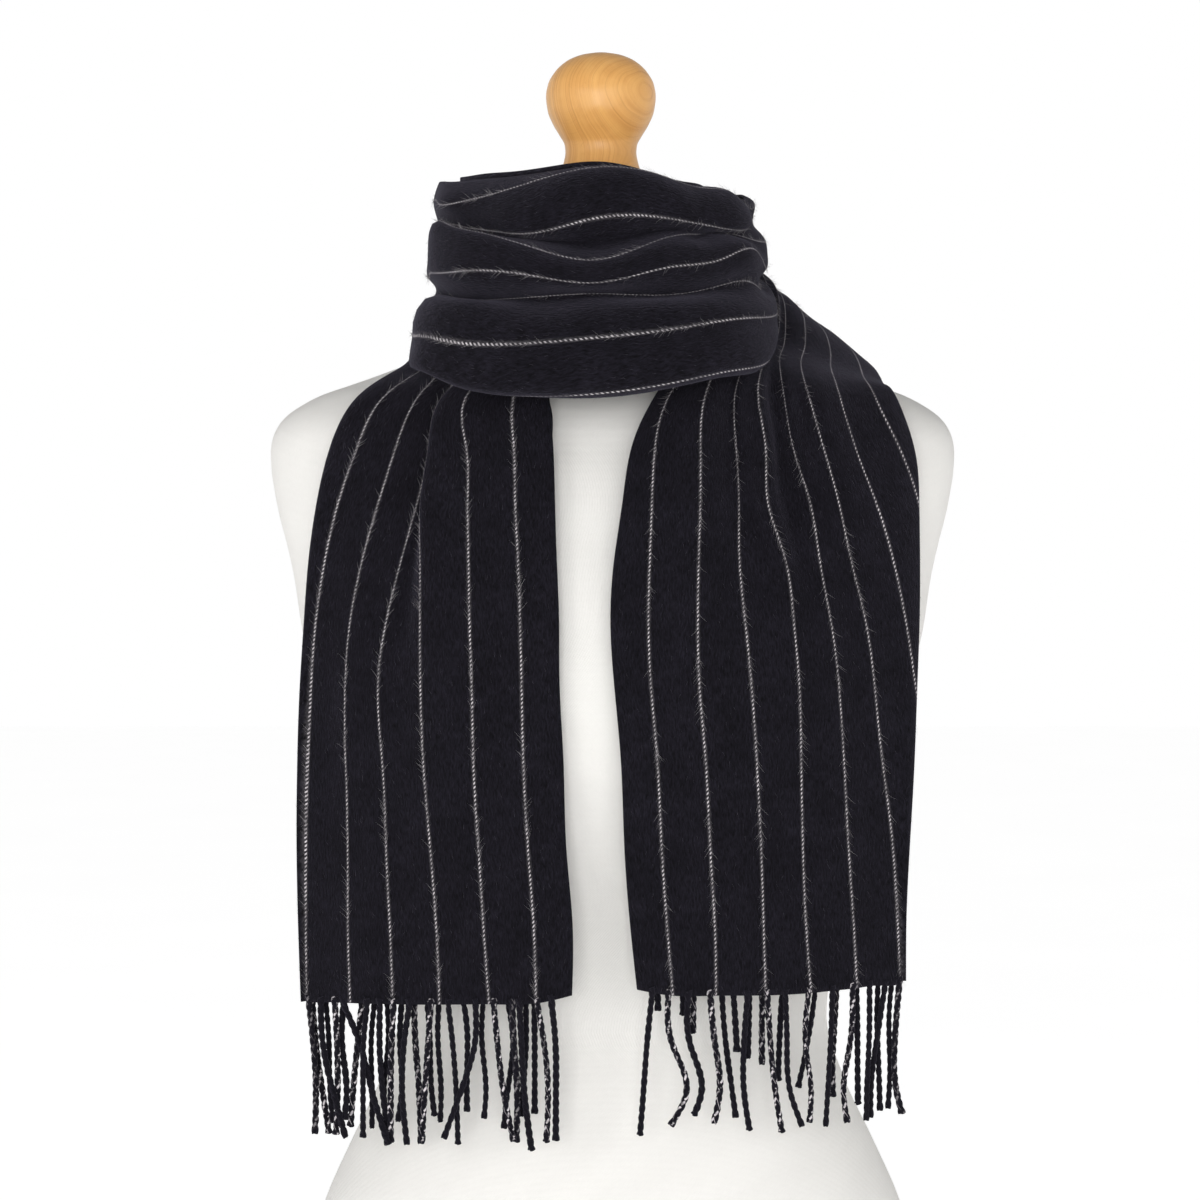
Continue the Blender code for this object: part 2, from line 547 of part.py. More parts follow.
def whole_cloth():
    """Every section from the left hem to the right hem, and the stretches between them."""
    left = tail_sections(LEFT_TAIL, LEFT_PLEAT, LEFT_HEM)
    right = tail_sections(RIGHT_TAIL, RIGHT_PLEAT, RIGHT_HEM)[::-1]
    groups = [
        left,
        wrap_sections(SHOULDER_LEFT, 0.1),
        wrap_sections(WRAP_INNER, 0.35),
        wrap_sections(LOOP_RIGHT),
        loop_sections(),
        wrap_sections(LOOP_LEFT),
        wrap_sections(WRAP_OUTER),
        wrap_sections(SHOULDER_RIGHT, 0.4),
        right,
    ]
    counts = np.cumsum([len(group) for group in groups])
    rows = [row for group in groups for row in group]
    places = np.array([place for place, _ in rows])
    widths = np.array([at for _, at in rows])
    stretches = {
        "left_tail": (0, counts[0] + 5),
        "back_wrap_inner": (counts[0] + 5, counts[2]),
        "neck_loop": (counts[2], counts[5] - 1),
        "back_wrap_outer": (counts[5] - 1, counts[6]),
        "right_tail": (counts[6], counts[8] - 1),
    }
    return places, widths, stretches


def run_length(places):
    """How far along the cloth each section is, measured on its face."""
    middle = places[:, 2:9].mean(axis=1)
    return np.concatenate([[0], np.cumsum(np.linalg.norm(np.diff(middle, axis=0), axis=1))])


def resample(places, widths, lengths):
    """Sections at other lengths along the cloth."""
    run = run_length(places)
    count = places.shape[1]
    place = spline(run, places.reshape(len(run), -1), lengths).reshape(-1, count, 3)
    width = smooth(run, widths, lengths)
    return place, width


def cloth_grid(places, widths, lengths):
    """Points of the cloth at these lengths, clear of the form, and the way the cloth runs there."""
    grid, _ = resample(places, widths, lengths)
    face_gap = CLOTH_THICK * 1.5 + 2 * REST_GAP
    lining_gap = CLOTH_THICK / 2 + REST_GAP
    for row in grid:
        for column, point in enumerate(row):
            gap = face_gap + 2 * FACET_ROOM if column < len(LINES) else lining_gap + FACET_ROOM
            row[column] = clear_of_form(point, gap)
    after, _ = resample(places, widths, lengths + 1)
    before, _ = resample(places, widths, lengths - 1)
    return grid, after - before


# ------------------------------------------------------------------ solids


def finish(name, build, material):
    """An object from a bmesh, with its faces turned out and its round stretches smooth."""
    mesh = bpy.data.meshes.new(name)
    bmesh.ops.recalc_face_normals(build, faces=build.faces)
    build.to_mesh(mesh)
    build.free()
    mesh.materials.append(material)
    mesh.shade_smooth()
    mesh.set_sharp_from_angle(angle=math.radians(SHARP_ANGLE))
    obj = bpy.data.objects.new(name, mesh)
    bpy.context.collection.objects.link(obj)
    return obj


def new_object(name, points, faces, material):
    """An object from points in millimetres."""
    build = bmesh.new()
    verts = [build.verts.new(np.asarray(point) * MM) for point in points]
    for face in faces:
        build.faces.new([verts[index] for index in face])
    return finish(name, build, material)


def new_material(name, colour, roughness, metallic=0.0):
    material = bpy.data.materials.new(name)
    material.use_nodes = True
    shader = material.node_tree.nodes["Principled BSDF"]
    shader.inputs["Base Color"].default_value = (*colour, 1)
    shader.inputs["Roughness"].default_value = roughness
    shader.inputs["Metallic"].default_value = metallic
    return material


def wall(grid, along, thick):
    """A closed wall about a grid of points: both faces and its four edges, as triangles."""
    rows, cols = grid.shape[:2]
    steps = np.diff(grid, axis=1)
    steps /= np.linalg.norm(steps, axis=2, keepdims=True)
    across = np.concatenate([steps[:, :1], steps[:, 1:] + steps[:, :-1], steps[:, -1:]], axis=1)
    normal = np.cross(along, across)
    normal /= np.linalg.norm(normal, axis=2, keepdims=True)
    verts = np.concatenate([(grid + normal * thick / 2).reshape(-1, 3),
                            (grid - normal * thick / 2).reshape(-1, 3)])
    size = rows * cols

    def at(i, j):
        return i * cols + j

    faces = []
    for i in range(rows - 1):
        for j in range(cols - 1):
            a, b, c, d = at(i, j), at(i + 1, j), at(i + 1, j + 1), at(i, j + 1)
            faces += [(a, b, c), (a, c, d)]
            faces += [(a + size, c + size, b + size), (a + size, d + size, c + size)]
    rim = [at(i, 0) for i in range(rows)] + [at(rows - 1, j) for j in range(1, cols)]
    rim += [at(i, cols - 1) for i in range(rows - 2, -1, -1)] + [at(0, j) for j in range(cols - 2, 0, -1)]
    for k, a in enumerate(rim):
        b = rim[(k + 1) % len(rim)]
        faces += [(a, a + size, b + size), (a, b + size, b)]
    return verts, faces


def rings(levels, segments):
    """A closed solid from rings, each a list of points, with flat ends."""
    verts = [point for level in levels for point in level]
    faces = []
    for i in range(len(levels) - 1):
        for j in range(segments):
            k = (j + 1) % segments
            faces.append((i * segments + j, i * segments + k, (i + 1) * segments + k,
                          (i + 1) * segments + j))
    faces.append(tuple(range(segments)))
    top = (len(levels) - 1) * segments
    faces.append(tuple(range(top, top + segments)))
    return verts, faces


def make_form(material, segments=36):
    """The form's body: level rounds, close together where the shoulders turn in."""
    top = FORM["height"]
    heights = np.concatenate([np.linspace(0, 240, 9), np.linspace(270, 520, 10),
                              np.linspace(532, 570, 4), top[top > 570]])
    levels = []
    for height in heights:
        lean, back, width, depth, power = form_at(height)
        level = []
        for j in range(segments):
            turn = 2 * math.pi * j / segments
            cosine, sine = math.cos(turn), math.sin(turn)
            level.append((lean + width * math.copysign(abs(cosine) ** (2 / power), cosine),
                          back + depth * math.copysign(abs(sine) ** (2 / power), sine), height))
        levels.append(level)
    return new_object("dress_form", *rings(levels, segments), material)


def make_turned(name, profile, material, segments=32):
    """A turned wooden piece, spun from its profile: (height, radius) pairs from the bottom up."""
    outline = [(profile[0][0], 0), *profile, (profile[-1][0], 0)]
    build = bmesh.new()
    verts = [build.verts.new((radius * MM, 0, height * MM)) for height, radius in outline]
    edges = [build.edges.new(pair) for pair in zip(verts, verts[1:])]
    bmesh.ops.spin(build, geom=verts + edges, axis=(0, 0, 1), cent=(0, 0, 0), angle=2 * math.pi,
                   steps=segments, use_merge=True)
    bmesh.ops.remove_doubles(build, verts=build.verts, dist=MM / 1000)
    obj = finish(name, build, material)
    obj.location = (NECK_X * MM, NECK_Y * MM, 0)
    return obj


def make_cloth(material):
    """The five stretches of the scarf, each a closed wall."""
    places, widths, stretches = whole_cloth()
    run = run_length(places)
    for name, (first, last) in stretches.items():
        lengths = np.interp(np.arange(first * 2, last * 2 + 1) / 2, np.arange(len(run)), run)
        lengths[0] += SEAM_GAP / 2 if first > 0 else 0
        lengths[-1] -= SEAM_GAP / 2 if last < len(run) - 1 else 0
        grid, along = cloth_grid(places, widths, lengths)
        new_object(name, *wall(grid, along, CLOTH_THICK), material)
    return places, widths


def make_fringe(name, hem, hem_at, first, last, side, material):
    """One layer's fringe: a narrow backing just under the hem, with its strands."""
    strands = int((last - first) // FRINGE_PITCH)
    middle = first + (last - first) / 2
    roots = middle + (np.arange(strands) - (strands - 1) / 2) * FRINGE_PITCH
    half = FRINGE_THICK / 2
    stations = [first]
    for root in roots:
        stations += [root - half, root + half]
    stations.append(last)
    order = np.argsort(hem_at)

    def hem_point(across):
        return np.stack([np.interp(across, hem_at[order], hem[order, axis]) for axis in range(3)], axis=1)

    stations = np.array(stations)
    points = hem_point(stations)
    step = hem_point(stations + FRINGE_PITCH / 2) - hem_point(stations - FRINGE_PITCH / 2)
    step[:, 2] = 0
    step /= np.linalg.norm(step, axis=1, keepdims=True)
    thick = np.stack([-step[:, 1], step[:, 0], np.zeros(len(step))], axis=1)
    top = points - np.array([0, 0, BACKING_GAP])
    low = top - np.array([0, 0, BACKING_TALL])
    verts = []
    for k in range(len(stations)):
        offset = thick[k] * CLOTH_THICK / 2
        verts += [top[k] + offset, low[k] + offset, low[k] - offset, top[k] - offset]
    faces = [(0, 1, 2, 3)]
    last_station = 4 * (len(stations) - 1)
    faces.append((last_station, last_station + 1, last_station + 2, last_station + 3))
    for k in range(len(stations) - 1):
        a, b = 4 * k, 4 * (k + 1)
        faces += [(a, a + 1, b + 1, b), (a + 2, a + 3, b + 3, b + 2), (a + 3, a, b, b + 3)]
        if k % 2 == 0:
            faces.append((a + 1, a + 2, b + 2, b + 1))
    for count in range(strands):
        a, b = 4 * (2 * count + 1), 4 * (2 * count + 2)
        ring = [a + 1, a + 2, b + 2, b + 1]
        root = np.array([verts[index] for index in ring])
        centre = root.mean(axis=0)
        away = thick[2 * count + 1] * side * np.sign(thick[2 * count + 1][1])
        sideways = np.array([STRAND_SWAY, 0, 0])
        sway = sideways * math.sin(2.4 * count + side)
        sway += away * STRAND_LIFT * (1 + math.sin(1.7 * count) / 2)
        long = FRINGE_LONG * (1 - 0.05 * math.sin(3.1 * count))
        for share in STRAND_STEPS:
            bend = (sway + sideways * 0.75 * math.sin(5 * share + count)) * share
            drop = np.array([0, 0, -long * share])
            flare = (root - centre) * np.array([1, FRINGE_THICK / CLOTH_THICK, 0])
            base = len(verts)
            verts += list(centre + bend + drop + flare)
            for j in range(4):
                k = (j + 1) % 4
                faces.append((ring[j], ring[k], base + k, base + j))
            ring = [base, base + 1, base + 2, base + 3]
        faces.append(tuple(ring))
    return new_object(name, verts, faces, material)


def build():
    for obj in list(bpy.data.objects):
        bpy.data.objects.remove(obj, do_unlink=True)
    jersey = new_material("jersey", (0.74, 0.71, 0.66), 0.9)
    wood = new_material("wood", (0.55, 0.33, 0.15), 0.45)
    cashmere = new_material("cashmere", (0.022, 0.020, 0.027), 0.95)

    make_form(jersey)
    cap_low = FORM_TOP + WOOD_GAP
    make_turned("neck_cap", [(cap_low, CAP_RADIUS - 1), (cap_low + 1, CAP_RADIUS),
                             (cap_low + CAP_THICK - 2, CAP_RADIUS),
                             (cap_low + CAP_THICK, CAP_RADIUS - 2)], wood)
    make_turned("finial", list(zip(FINIAL["height"], FINIAL["radius"])), wood)

    places, widths = make_cloth(cashmere)
    for tail, row in (("left", 0), ("right", -1)):
        hem, at = places[row], widths[row]
        fold = at[len(LINES) + 1]
        make_fringe(f"{tail}_fringe_front", hem, at, 1.5, fold - FRINGE_FREE, -1, cashmere)
        make_fringe(f"{tail}_fringe_back", hem, at, fold + FRINGE_FREE, CLOTH_WIDTH - 1.5, 1, cashmere)


build()
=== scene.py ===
# %% [markdown]
# # A striped cashmere scarf on a dress form
# The real thing is one long woven cloth with twisted fringes. It is folded lengthwise, wound once
# round the neck of a limbless dress form, and its two ends hang down the front. This lesson builds
# each finish and each soft piece in Blender, around the solids that carry it.
# All tables are in millimetres, and meshes are made in metres. Up is +Z and the front faces -Y.

import json
import math
import random

import bmesh
import bpy
import numpy as np
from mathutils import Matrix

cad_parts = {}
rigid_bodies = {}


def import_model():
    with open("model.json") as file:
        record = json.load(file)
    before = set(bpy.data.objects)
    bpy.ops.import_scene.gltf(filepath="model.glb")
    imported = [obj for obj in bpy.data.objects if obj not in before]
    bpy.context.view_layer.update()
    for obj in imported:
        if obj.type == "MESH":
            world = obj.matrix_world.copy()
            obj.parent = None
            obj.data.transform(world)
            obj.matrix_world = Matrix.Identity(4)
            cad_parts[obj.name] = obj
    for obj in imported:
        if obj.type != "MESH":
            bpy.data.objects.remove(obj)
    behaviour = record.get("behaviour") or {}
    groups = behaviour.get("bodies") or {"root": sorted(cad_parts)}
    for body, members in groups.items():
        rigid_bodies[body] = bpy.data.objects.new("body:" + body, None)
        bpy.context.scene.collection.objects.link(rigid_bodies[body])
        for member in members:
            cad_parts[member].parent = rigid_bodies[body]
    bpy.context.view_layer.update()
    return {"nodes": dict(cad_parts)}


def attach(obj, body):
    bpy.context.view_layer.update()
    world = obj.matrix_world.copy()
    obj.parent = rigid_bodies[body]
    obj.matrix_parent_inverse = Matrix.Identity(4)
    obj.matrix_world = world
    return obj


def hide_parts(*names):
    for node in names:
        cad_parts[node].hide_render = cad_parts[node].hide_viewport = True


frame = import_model()
MM = 0.001
print("solids in the frame:", len(frame["nodes"]))

# %% [markdown]
# ## Sizes and small tools
# A scarf of this kind is 310 mm wide with eleven thin stripes, 27 mm apart. Every other size
# follows from how wide those stripes look. Places that are read from the front are given in an
# upright picture plane, and a helper turns them into real points.

# %% Sizes
CLOTH_WIDTH = 310.0       # selvedge to selvedge, laid flat
CLOTH_THICK = 1.3
STRIPE_PITCH = 27.0
FIRST_STRIPE = 20.0       # selvedge to the first stripe

NECK_X = -6.5             # the neck leans a little to the viewer's left
NECK_Y = 4.0
WRAP_X = -8.0             # the upright line that the wraps go round
WRAP_Y = 5.0
FORM_TOP = 680.0
REST_GAP = 0.35           # between the cloth and the form it lies on
CAMERA = np.array([-7.0, -2120.0, 473.0])
PICTURE_Y = -120.0
PIXEL = 0.53              # millimetres of the picture plane in one pixel of a 1200-pixel picture


def table(names, *rows):
    """Rows of numbers as named columns."""
    keys = names.split()
    return {key: np.array([row[i] for row in rows], float) for i, key in enumerate(keys)}

# %% Curves through a few values
def smooth(at, values, x):
    """A curve through the values that never overshoots them (monotone cubic)."""
    at = np.asarray(at, float)
    values = np.asarray(values, float)
    flat = values.ndim == 1
    values = values.reshape(len(at), -1)
    x = np.atleast_1d(np.asarray(x, float))
    step = np.diff(at)[:, None]
    slope = np.diff(values, axis=0) / step
    tangent = np.zeros_like(values)
    left, right = slope[:-1], slope[1:]
    same_way = left * right > 0
    weight = np.where(same_way, left + right, 1.0)
    tangent[1:-1] = np.where(same_way, 2 * left * right / weight, 0.0)
    tangent[0], tangent[-1] = slope[0], slope[-1]
    k = np.clip(np.searchsorted(at, x) - 1, 0, len(at) - 2)
    t = np.clip((x - at[k]) / step[k, 0], 0, 1)[:, None]
    h = step[k]
    result = (values[k] * (1 + 2 * t) * (1 - t) ** 2 + tangent[k] * h * t * (1 - t) ** 2
              + values[k + 1] * t * t * (3 - 2 * t) - tangent[k + 1] * h * t * t * (1 - t))
    return result[:, 0] if flat else result


def spline(at, values, x):
    """A natural cubic spline through rows of values."""
    n = len(at)
    h = np.diff(at)
    matrix = np.zeros((n, n))
    target = np.zeros((n, values.shape[1]))
    matrix[0, 0] = matrix[-1, -1] = 1
    for i in range(1, n - 1):
        matrix[i, i - 1] = h[i - 1]
        matrix[i, i] = 2 * (h[i - 1] + h[i])
        matrix[i, i + 1] = h[i]
        rise = (values[i + 1] - values[i]) / h[i] - (values[i] - values[i - 1]) / h[i - 1]
        target[i] = 6 * rise
    bend = np.linalg.solve(matrix, target)
    x = np.atleast_1d(x)
    k = np.clip(np.searchsorted(at, x) - 1, 0, n - 2)
    h = h[k][:, None]
    a = (at[k + 1] - x)[:, None] / h
    b = 1 - a
    return (a * values[k] + b * values[k + 1]
            + ((a ** 3 - a) * bend[k] + (b ** 3 - b) * bend[k + 1]) * h * h / 6)


def unit(vector):
    return vector / np.linalg.norm(vector)

# %% [markdown]
# ## The dress form
# A dress form is a foam body under stretched jersey. Its shape is a stack of level rounds, each
# with a half width, a half depth and a squareness, so a short table and one formula give the
# whole body. The same formula later keeps the cloth off it.

# %% The form's rounds
FORM = table(
    "height lean back half_width half_depth squareness",
    (0, 0, 3, 176, 100, 2.3),
    (60, 0, 5, 178, 102, 2.3),
    (100, 0, 6, 172, 101, 2.3),
    (136, 0, 5, 161.5, 98, 2.3),
    (171, 0, 3, 146, 93, 2.25),
    (205, 0, 1, 130, 88.5, 2.2),
    (240, 0, 0, 120, 86, 2.2),
    (290, 0, -1, 127, 90, 2.2),
    (345, 0, -3, 142, 99, 2.25),
    (400, 0, -5, 158.5, 107, 2.3),
    (430, 0, -5, 166.5, 107.5, 2.3),
    (456, 0, -4, 173.5, 105.5, 2.3),
    (485, 0, -3, 178, 102, 2.3),
    (505, 0, -2, 182.5, 98, 2.3),
    (520, 0, -1.5, 186.5, 94.5, 2.3),
    (532, 0, -1, 189, 91, 2.3),
    (546, 0, 0, 191.2, 86, 2.3),
    (556, 0, 1, 191.8, 82, 2.3),
    (563, 0, 1, 190.8, 79, 2.3),
    (570, 0, 1.5, 187.9, 76, 2.3),
    (576, 0, 2, 183, 73, 2.3),
    (582, 0, 2, 174.5, 69.5, 2.3),
    (588, 0, 2.5, 163, 66, 2.25),
    (592.5, 0, 3, 150, 63.5, 2.2),
    (597, 0, 3, 137, 61.5, 2.2),
    (604, 0, 3.5, 118, 58.5, 2.2),
    (612, -1, 4, 98, 56, 2.15),
    (619, -2, 4, 80, 54, 2.1),
    (625, -3, 4, 67, 53, 2.05),
    (631, -4, 4, 59.5, 52, 2.0),
    (640, -5, 4, 55.5, 51, 2.0),
    (656, -6, 4, 54, 50, 2.0),
    (FORM_TOP, NECK_X, NECK_Y, 53, 49, 2.0),
)

DENSE = np.arange(0, FORM_TOP + 1)
DENSE_ROUNDS = {key: smooth(FORM["height"], FORM[key], DENSE) for key in FORM if key != "height"}


def form_at(height):
    """Lean, back, half width, half depth and squareness of the form at these heights."""
    return [np.interp(height, DENSE, DENSE_ROUNDS[key])
            for key in ("lean", "back", "half_width", "half_depth", "squareness")]


def form_measure(points):
    """Below 0 inside the form, above 0 outside it."""
    lean, back, width, depth, power = form_at(points[..., 2])
    x = np.abs(points[..., 0] - lean) / width
    y = np.abs(points[..., 1] - back) / depth
    return (x ** power + y ** power) ** (1 / power) - 1


def clear_of_form(points, gap):
    """Push points straight out of the form until they are clear by the gap."""
    points = np.array(points, float)
    for _ in range(6):
        here = form_measure(points)
        slope = np.stack([form_measure(points + step) - here for step in np.eye(3) * 0.5], axis=-1) / 0.5
        steep = np.linalg.norm(slope, axis=-1)
        short = np.maximum(gap - here / steep, 0)
        points = points + slope * (short / steep)[..., None]
    return points


print("rounds in the form's table:", len(FORM["height"]))

# %% [markdown]
# ## Sections across the doubled cloth
# The scarf is folded lengthwise, so a cut across it is a narrow U: a face, a rolled edge, and a
# layer behind. Each row of a table is such a cut. A cloth simulation could find a drape of its
# own, but not this one, with these folds in these places, so the main folds are set one by one.

# %% Lines along the cloth
# Lines along the cloth, by their distance from the inner selvedge. s1 to s6 are stripes;
# the others are fold lines between them. "mid" and "roll" depend on where the cloth is folded.
LINES = ("rim", "s1", "s2", "a", "s3", "p1", "s4", "p2", "s5", "c", "s6", "mid", "roll")
BEHIND = 5                # stretches of the layer behind, from the fold to its selvedge
LINE_AT = {"rim": 0.0}
for count in range(6):
    LINE_AT[f"s{count + 1}"] = FIRST_STRIPE + count * STRIPE_PITCH
for line, stripe in (("a", "s2"), ("p1", "s3"), ("p2", "s4"), ("c", "s5")):
    LINE_AT[line] = LINE_AT[stripe] + STRIPE_PITCH / 2

# %% The tails, seen from the front
# The smooth drape of a tail's face before its pleats: half width and half depth of the round
# that it lies on, by height.
DRAPE = table(
    "height half_width half_depth",
    (180, 216, 121),
    (430, 216, 121),
    (462, 216, 119),
    (494, 212, 114),
    (526, 208, 107),
    (553, 204, 97),
    (580, 198, 85),
    (605, 185, 70),
)
DRAPE_SQUARENESS = 2.3

# Across: where each line runs, by height. fold_at is how far from the selvedge the cloth is
# folded. The left tail has one pleat, between s3 and s4: deep under the loop, gone at the hem.
LEFT_TAIL = table(
    "height fold_at rim s1 s2 s3 p1 s4 s5 s6 mid edge",
    (262, 160, -21.8, -40.9, -65.8, -92.1, -104.5, -116.7, -139.0, -162.1, -163.2, -164.4),
    (300, 160, -21.5, -42.0, -68.5, -93.6, -106.0, -118.3, -140.3, -162.6, -164.4, -165.9),
    (340, 160, -24.8, -45.0, -71.3, -96.5, -108.3, -120.2, -140.3, -162.2, -164.9, -166.8),
    (388, 160, -26.4, -47.7, -74.2, -100.5, -111.5, -122.4, -141.6, -161.5, -164.4, -166.6),
    (430, 161, -28.5, -48.6, -75.0, -101.8, -113.0, -124.5, -141.5, -159.6, -162.6, -165.2),
    (462, 163, -28.7, -49.4, -76.0, -101.9, -111.0, -120.2, -139.0, -157.0, -160.4, -163.2),
    (494, 165, -29.9, -50.5, -76.5, -101.7, -106.0, -112.4, -132.9, -152.3, -157.0, -160.9),
    (526, 168, -30.9, -52.0, -77.0, -101.8, -97.5, -103.4, -123.9, -145.0, -151.2, -156.4),
    (553, 172, -31.7, -52.6, -77.7, -97.6, -90.5, -96.5, -115.4, -136.0, -143.2, -150.0),
    (580, 176, -33.7, -52.8, -78.2, -90.5, -86.0, -88.5, -103.7, -122.0, -129.4, -135.8),
)
LEFT_PLEAT = table(       # how far each line lies behind the drape
    "height s3 p1 s4 s5 s6",
    (388, 0, 0.5, 0.3, 0, 0),
    (430, 0, 2.0, 1.2, 0, 0),
    (462, 0, 4.5, 3.0, 1.0, 0),
    (494, 0.5, 7.5, 6.0, 2.5, 1),
    (526, 1.8, 6.0, 9.0, 5.0, 1.5),
    (553, 2.6, 6.2, 9.6, 7.0, 2),
    (580, 2.6, 6.2, 9.6, 8.0, 3),
)

# The right tail has two soft valleys, on s3 and beside s5, and a ridge on s6 where the cloth
# comes over the shoulder.
RIGHT_TAIL = table(
    "height fold_at rim s1 s2 s3 s4 p2 s5 s6 mid edge",
    (262, 159.5, 12.6, 31.7, 54.5, 80.7, 104.8, 117.0, 129.2, 152.0, 153.0, 153.9),
    (300, 160, 8.7, 28.5, 53.8, 79.6, 101.9, 114.5, 127.1, 150.1, 152.4, 154.7),
    (340, 166, 5.9, 25.7, 51.5, 78.4, 100.3, 112.2, 124.2, 147.7, 152.4, 156.7),
    (388, 174, 4.0, 23.3, 49.0, 75.9, 99.4, 110.6, 121.8, 142.5, 150.7, 159.3),
    (430, 186, 0.3, 19.8, 45.5, 73.0, 98.5, 109.0, 119.1, 138.0, 149.4, 160.9),
    (462, 194, -1.5, 18.7, 44.8, 69.6, 95.6, 105.3, 115.0, 133.3, 147.5, 162.0),
    (494, 202, 0.4, 19.4, 45.1, 66.6, 91.4, 99.5, 109.6, 125.8, 144.3, 162.2),
    (526, 212, 5.0, 20.5, 46.0, 66.6, 81.6, 92.5, 104.3, 119.1, 139.0, 161.8),
    (553, 221, 9.4, 22.0, 46.1, 65.2, 80.5, 90.0, 95.8, 111.7, 131.6, 159.4),
    (580, 228, 21.4, 29.0, 48.4, 64.4, 76.6, 86.5, 91.0, 104.0, 125.5, 150.0),
)
RIGHT_PLEAT = table(
    "height s1 s3 s4 p2 s5 s6 mid",
    (388, 0, 0, 0, 0, 0, 0, 0),
    (430, 0, 0.4, 0, 0.4, 0, 0, 0),
    (462, 0, 1.2, 0, 1.5, 0.5, -0.5, -1),
    (494, 0, 4.5, 2.0, 5.5, 1.0, -1.5, -2),
    (526, 0, 8.0, 1.5, 12.0, 4.5, -3.5, -3),
    (553, 0.5, 10.0, 0.0, 14.5, 10.0, -4.5, -3),
    (580, 3.0, 10.5, -0.5, 14.5, 11.5, -3.5, -2),
)

# The hems: height of the cloth's edge, by distance from the inner selvedge.
LEFT_HEM = table("across height", (0, 263.5), (8, 259.5), (80, 258.5), (160, 260.5), (240, 265),
                 (302, 269), (310, 272))
RIGHT_HEM = table("across height", (0, 266.5), (8, 263.2), (80, 263.5), (120, 266.5), (158, 271),
                  (210, 288), (260, 309), (302, 327), (310, 331))
HEM_REACH = 388.0         # above this height the sections are level
TAIL_FOLD_RADIUS = 2.0
BEHIND_PLEATS = 1.6       # how soon the layer behind is back by the depth of the deepest pleat
LINING_LOW = 0.33         # height of the middle of the layer behind, from the fold to the rim

# %% The loop, seen from the front
# Height of each line in the picture plane, by how far across the picture it is.
LOOP_HEIGHT = table(
    "across rim s1 s2 a s3 p1 s4 p2 s5 c s6 mid edge",
    (-106, 693.0, 680.6, 674.9, 672.4, 673.0, 660.6, 646.5, 641.0, 635.6, 634.4, 613.5, 609.0, 605.5),
    (-95, 693.3, 681.9, 674.0, 671.4, 672.4, 660.2, 646.3, 640.5, 634.8, 633.9, 611.5, 605.0, 600.5),
    (-73, 695.4, 685.3, 669.8, 667.5, 667.9, 658.4, 647.9, 636.8, 631.8, 630.8, 608.2, 600.0, 589.8),
    (-47, 697.5, 693.0, 667.5, 663.8, 660.1, 653.2, 645.8, 637.8, 633.6, 624.6, 608.7, 598.5, 586.0),
    (-20, 701.6, 700.4, 673.3, 663.3, 655.3, 649.0, 642.1, 637.8, 635.2, 626.2, 610.5, 600.5, 584.2),
    (-7, 702.1, 702.0, 676.0, 662.2, 652.7, 646.8, 641.5, 637.8, 635.7, 627.8, 611.9, 602.0, 583.2),
    (20, 697.0, 699.0, 676.5, 668.0, 662.2, 655.9, 648.7, 641.0, 634.4, 629.9, 614.5, 605.0, 586.6),
    (46, 690.0, 691.1, 672.4, 668.6, 667.4, 660.1, 650.3, 642.1, 637.3, 632.5, 618.8, 610.0, 592.9),
    (67, 687.5, 687.9, 669.6, 668.8, 667.2, 663.6, 657.0, 649.0, 641.8, 633.3, 621.9, 614.0, 594.9),
    (86, 684.0, 683.0, 669.8, 671.0, 669.0, 666.0, 661.7, 652.1, 642.6, 634.1, 623.0, 617.0, 606.0),
)

# Distance of each line from the upright line, by angle from the front, positive to the right.
# "edge" is the middle of the bottom roll and "roll_radius" its radius; "lining_low" and
# "lining_top" are the layer behind.
LOOP_REACH = table(
    "angle rim s1 s2 a s3 p1 s4 p2 s5 c s6 mid edge roll_radius fold_at lining_low lining_top",
    (-62, 89, 97, 90, 90, 101, 105, 104, 98, 92, 101, 115, 115, 103, 9.5, 180, 84, 80),
    (-50, 86, 96, 92, 92, 106, 111, 111, 103, 96, 109, 125, 126, 113, 11, 183, 88, 80),
    (-35, 86, 97, 98, 97, 110, 116, 117, 107, 100, 115, 130, 131, 116, 12, 187, 90, 80),
    (-18, 85, 97, 106, 97, 112, 118, 118, 109, 102, 118, 132, 133, 118, 13, 194, 91, 79),
    (0, 84, 97, 107, 95, 112, 117, 117, 109, 103, 118, 131, 133, 118, 13, 198, 91, 78),
    (18, 84, 97, 107, 99, 108, 117, 118, 112, 104, 118, 131, 132, 117, 13, 199, 91, 78),
    (35, 84, 95, 104, 100, 97, 108, 114, 112, 105, 115, 126, 127, 113, 12, 198, 88, 78),
    (50, 84, 95, 103, 96.5, 94, 103, 110, 111, 106, 111, 119, 118, 107, 10, 196, 82, 75),
)

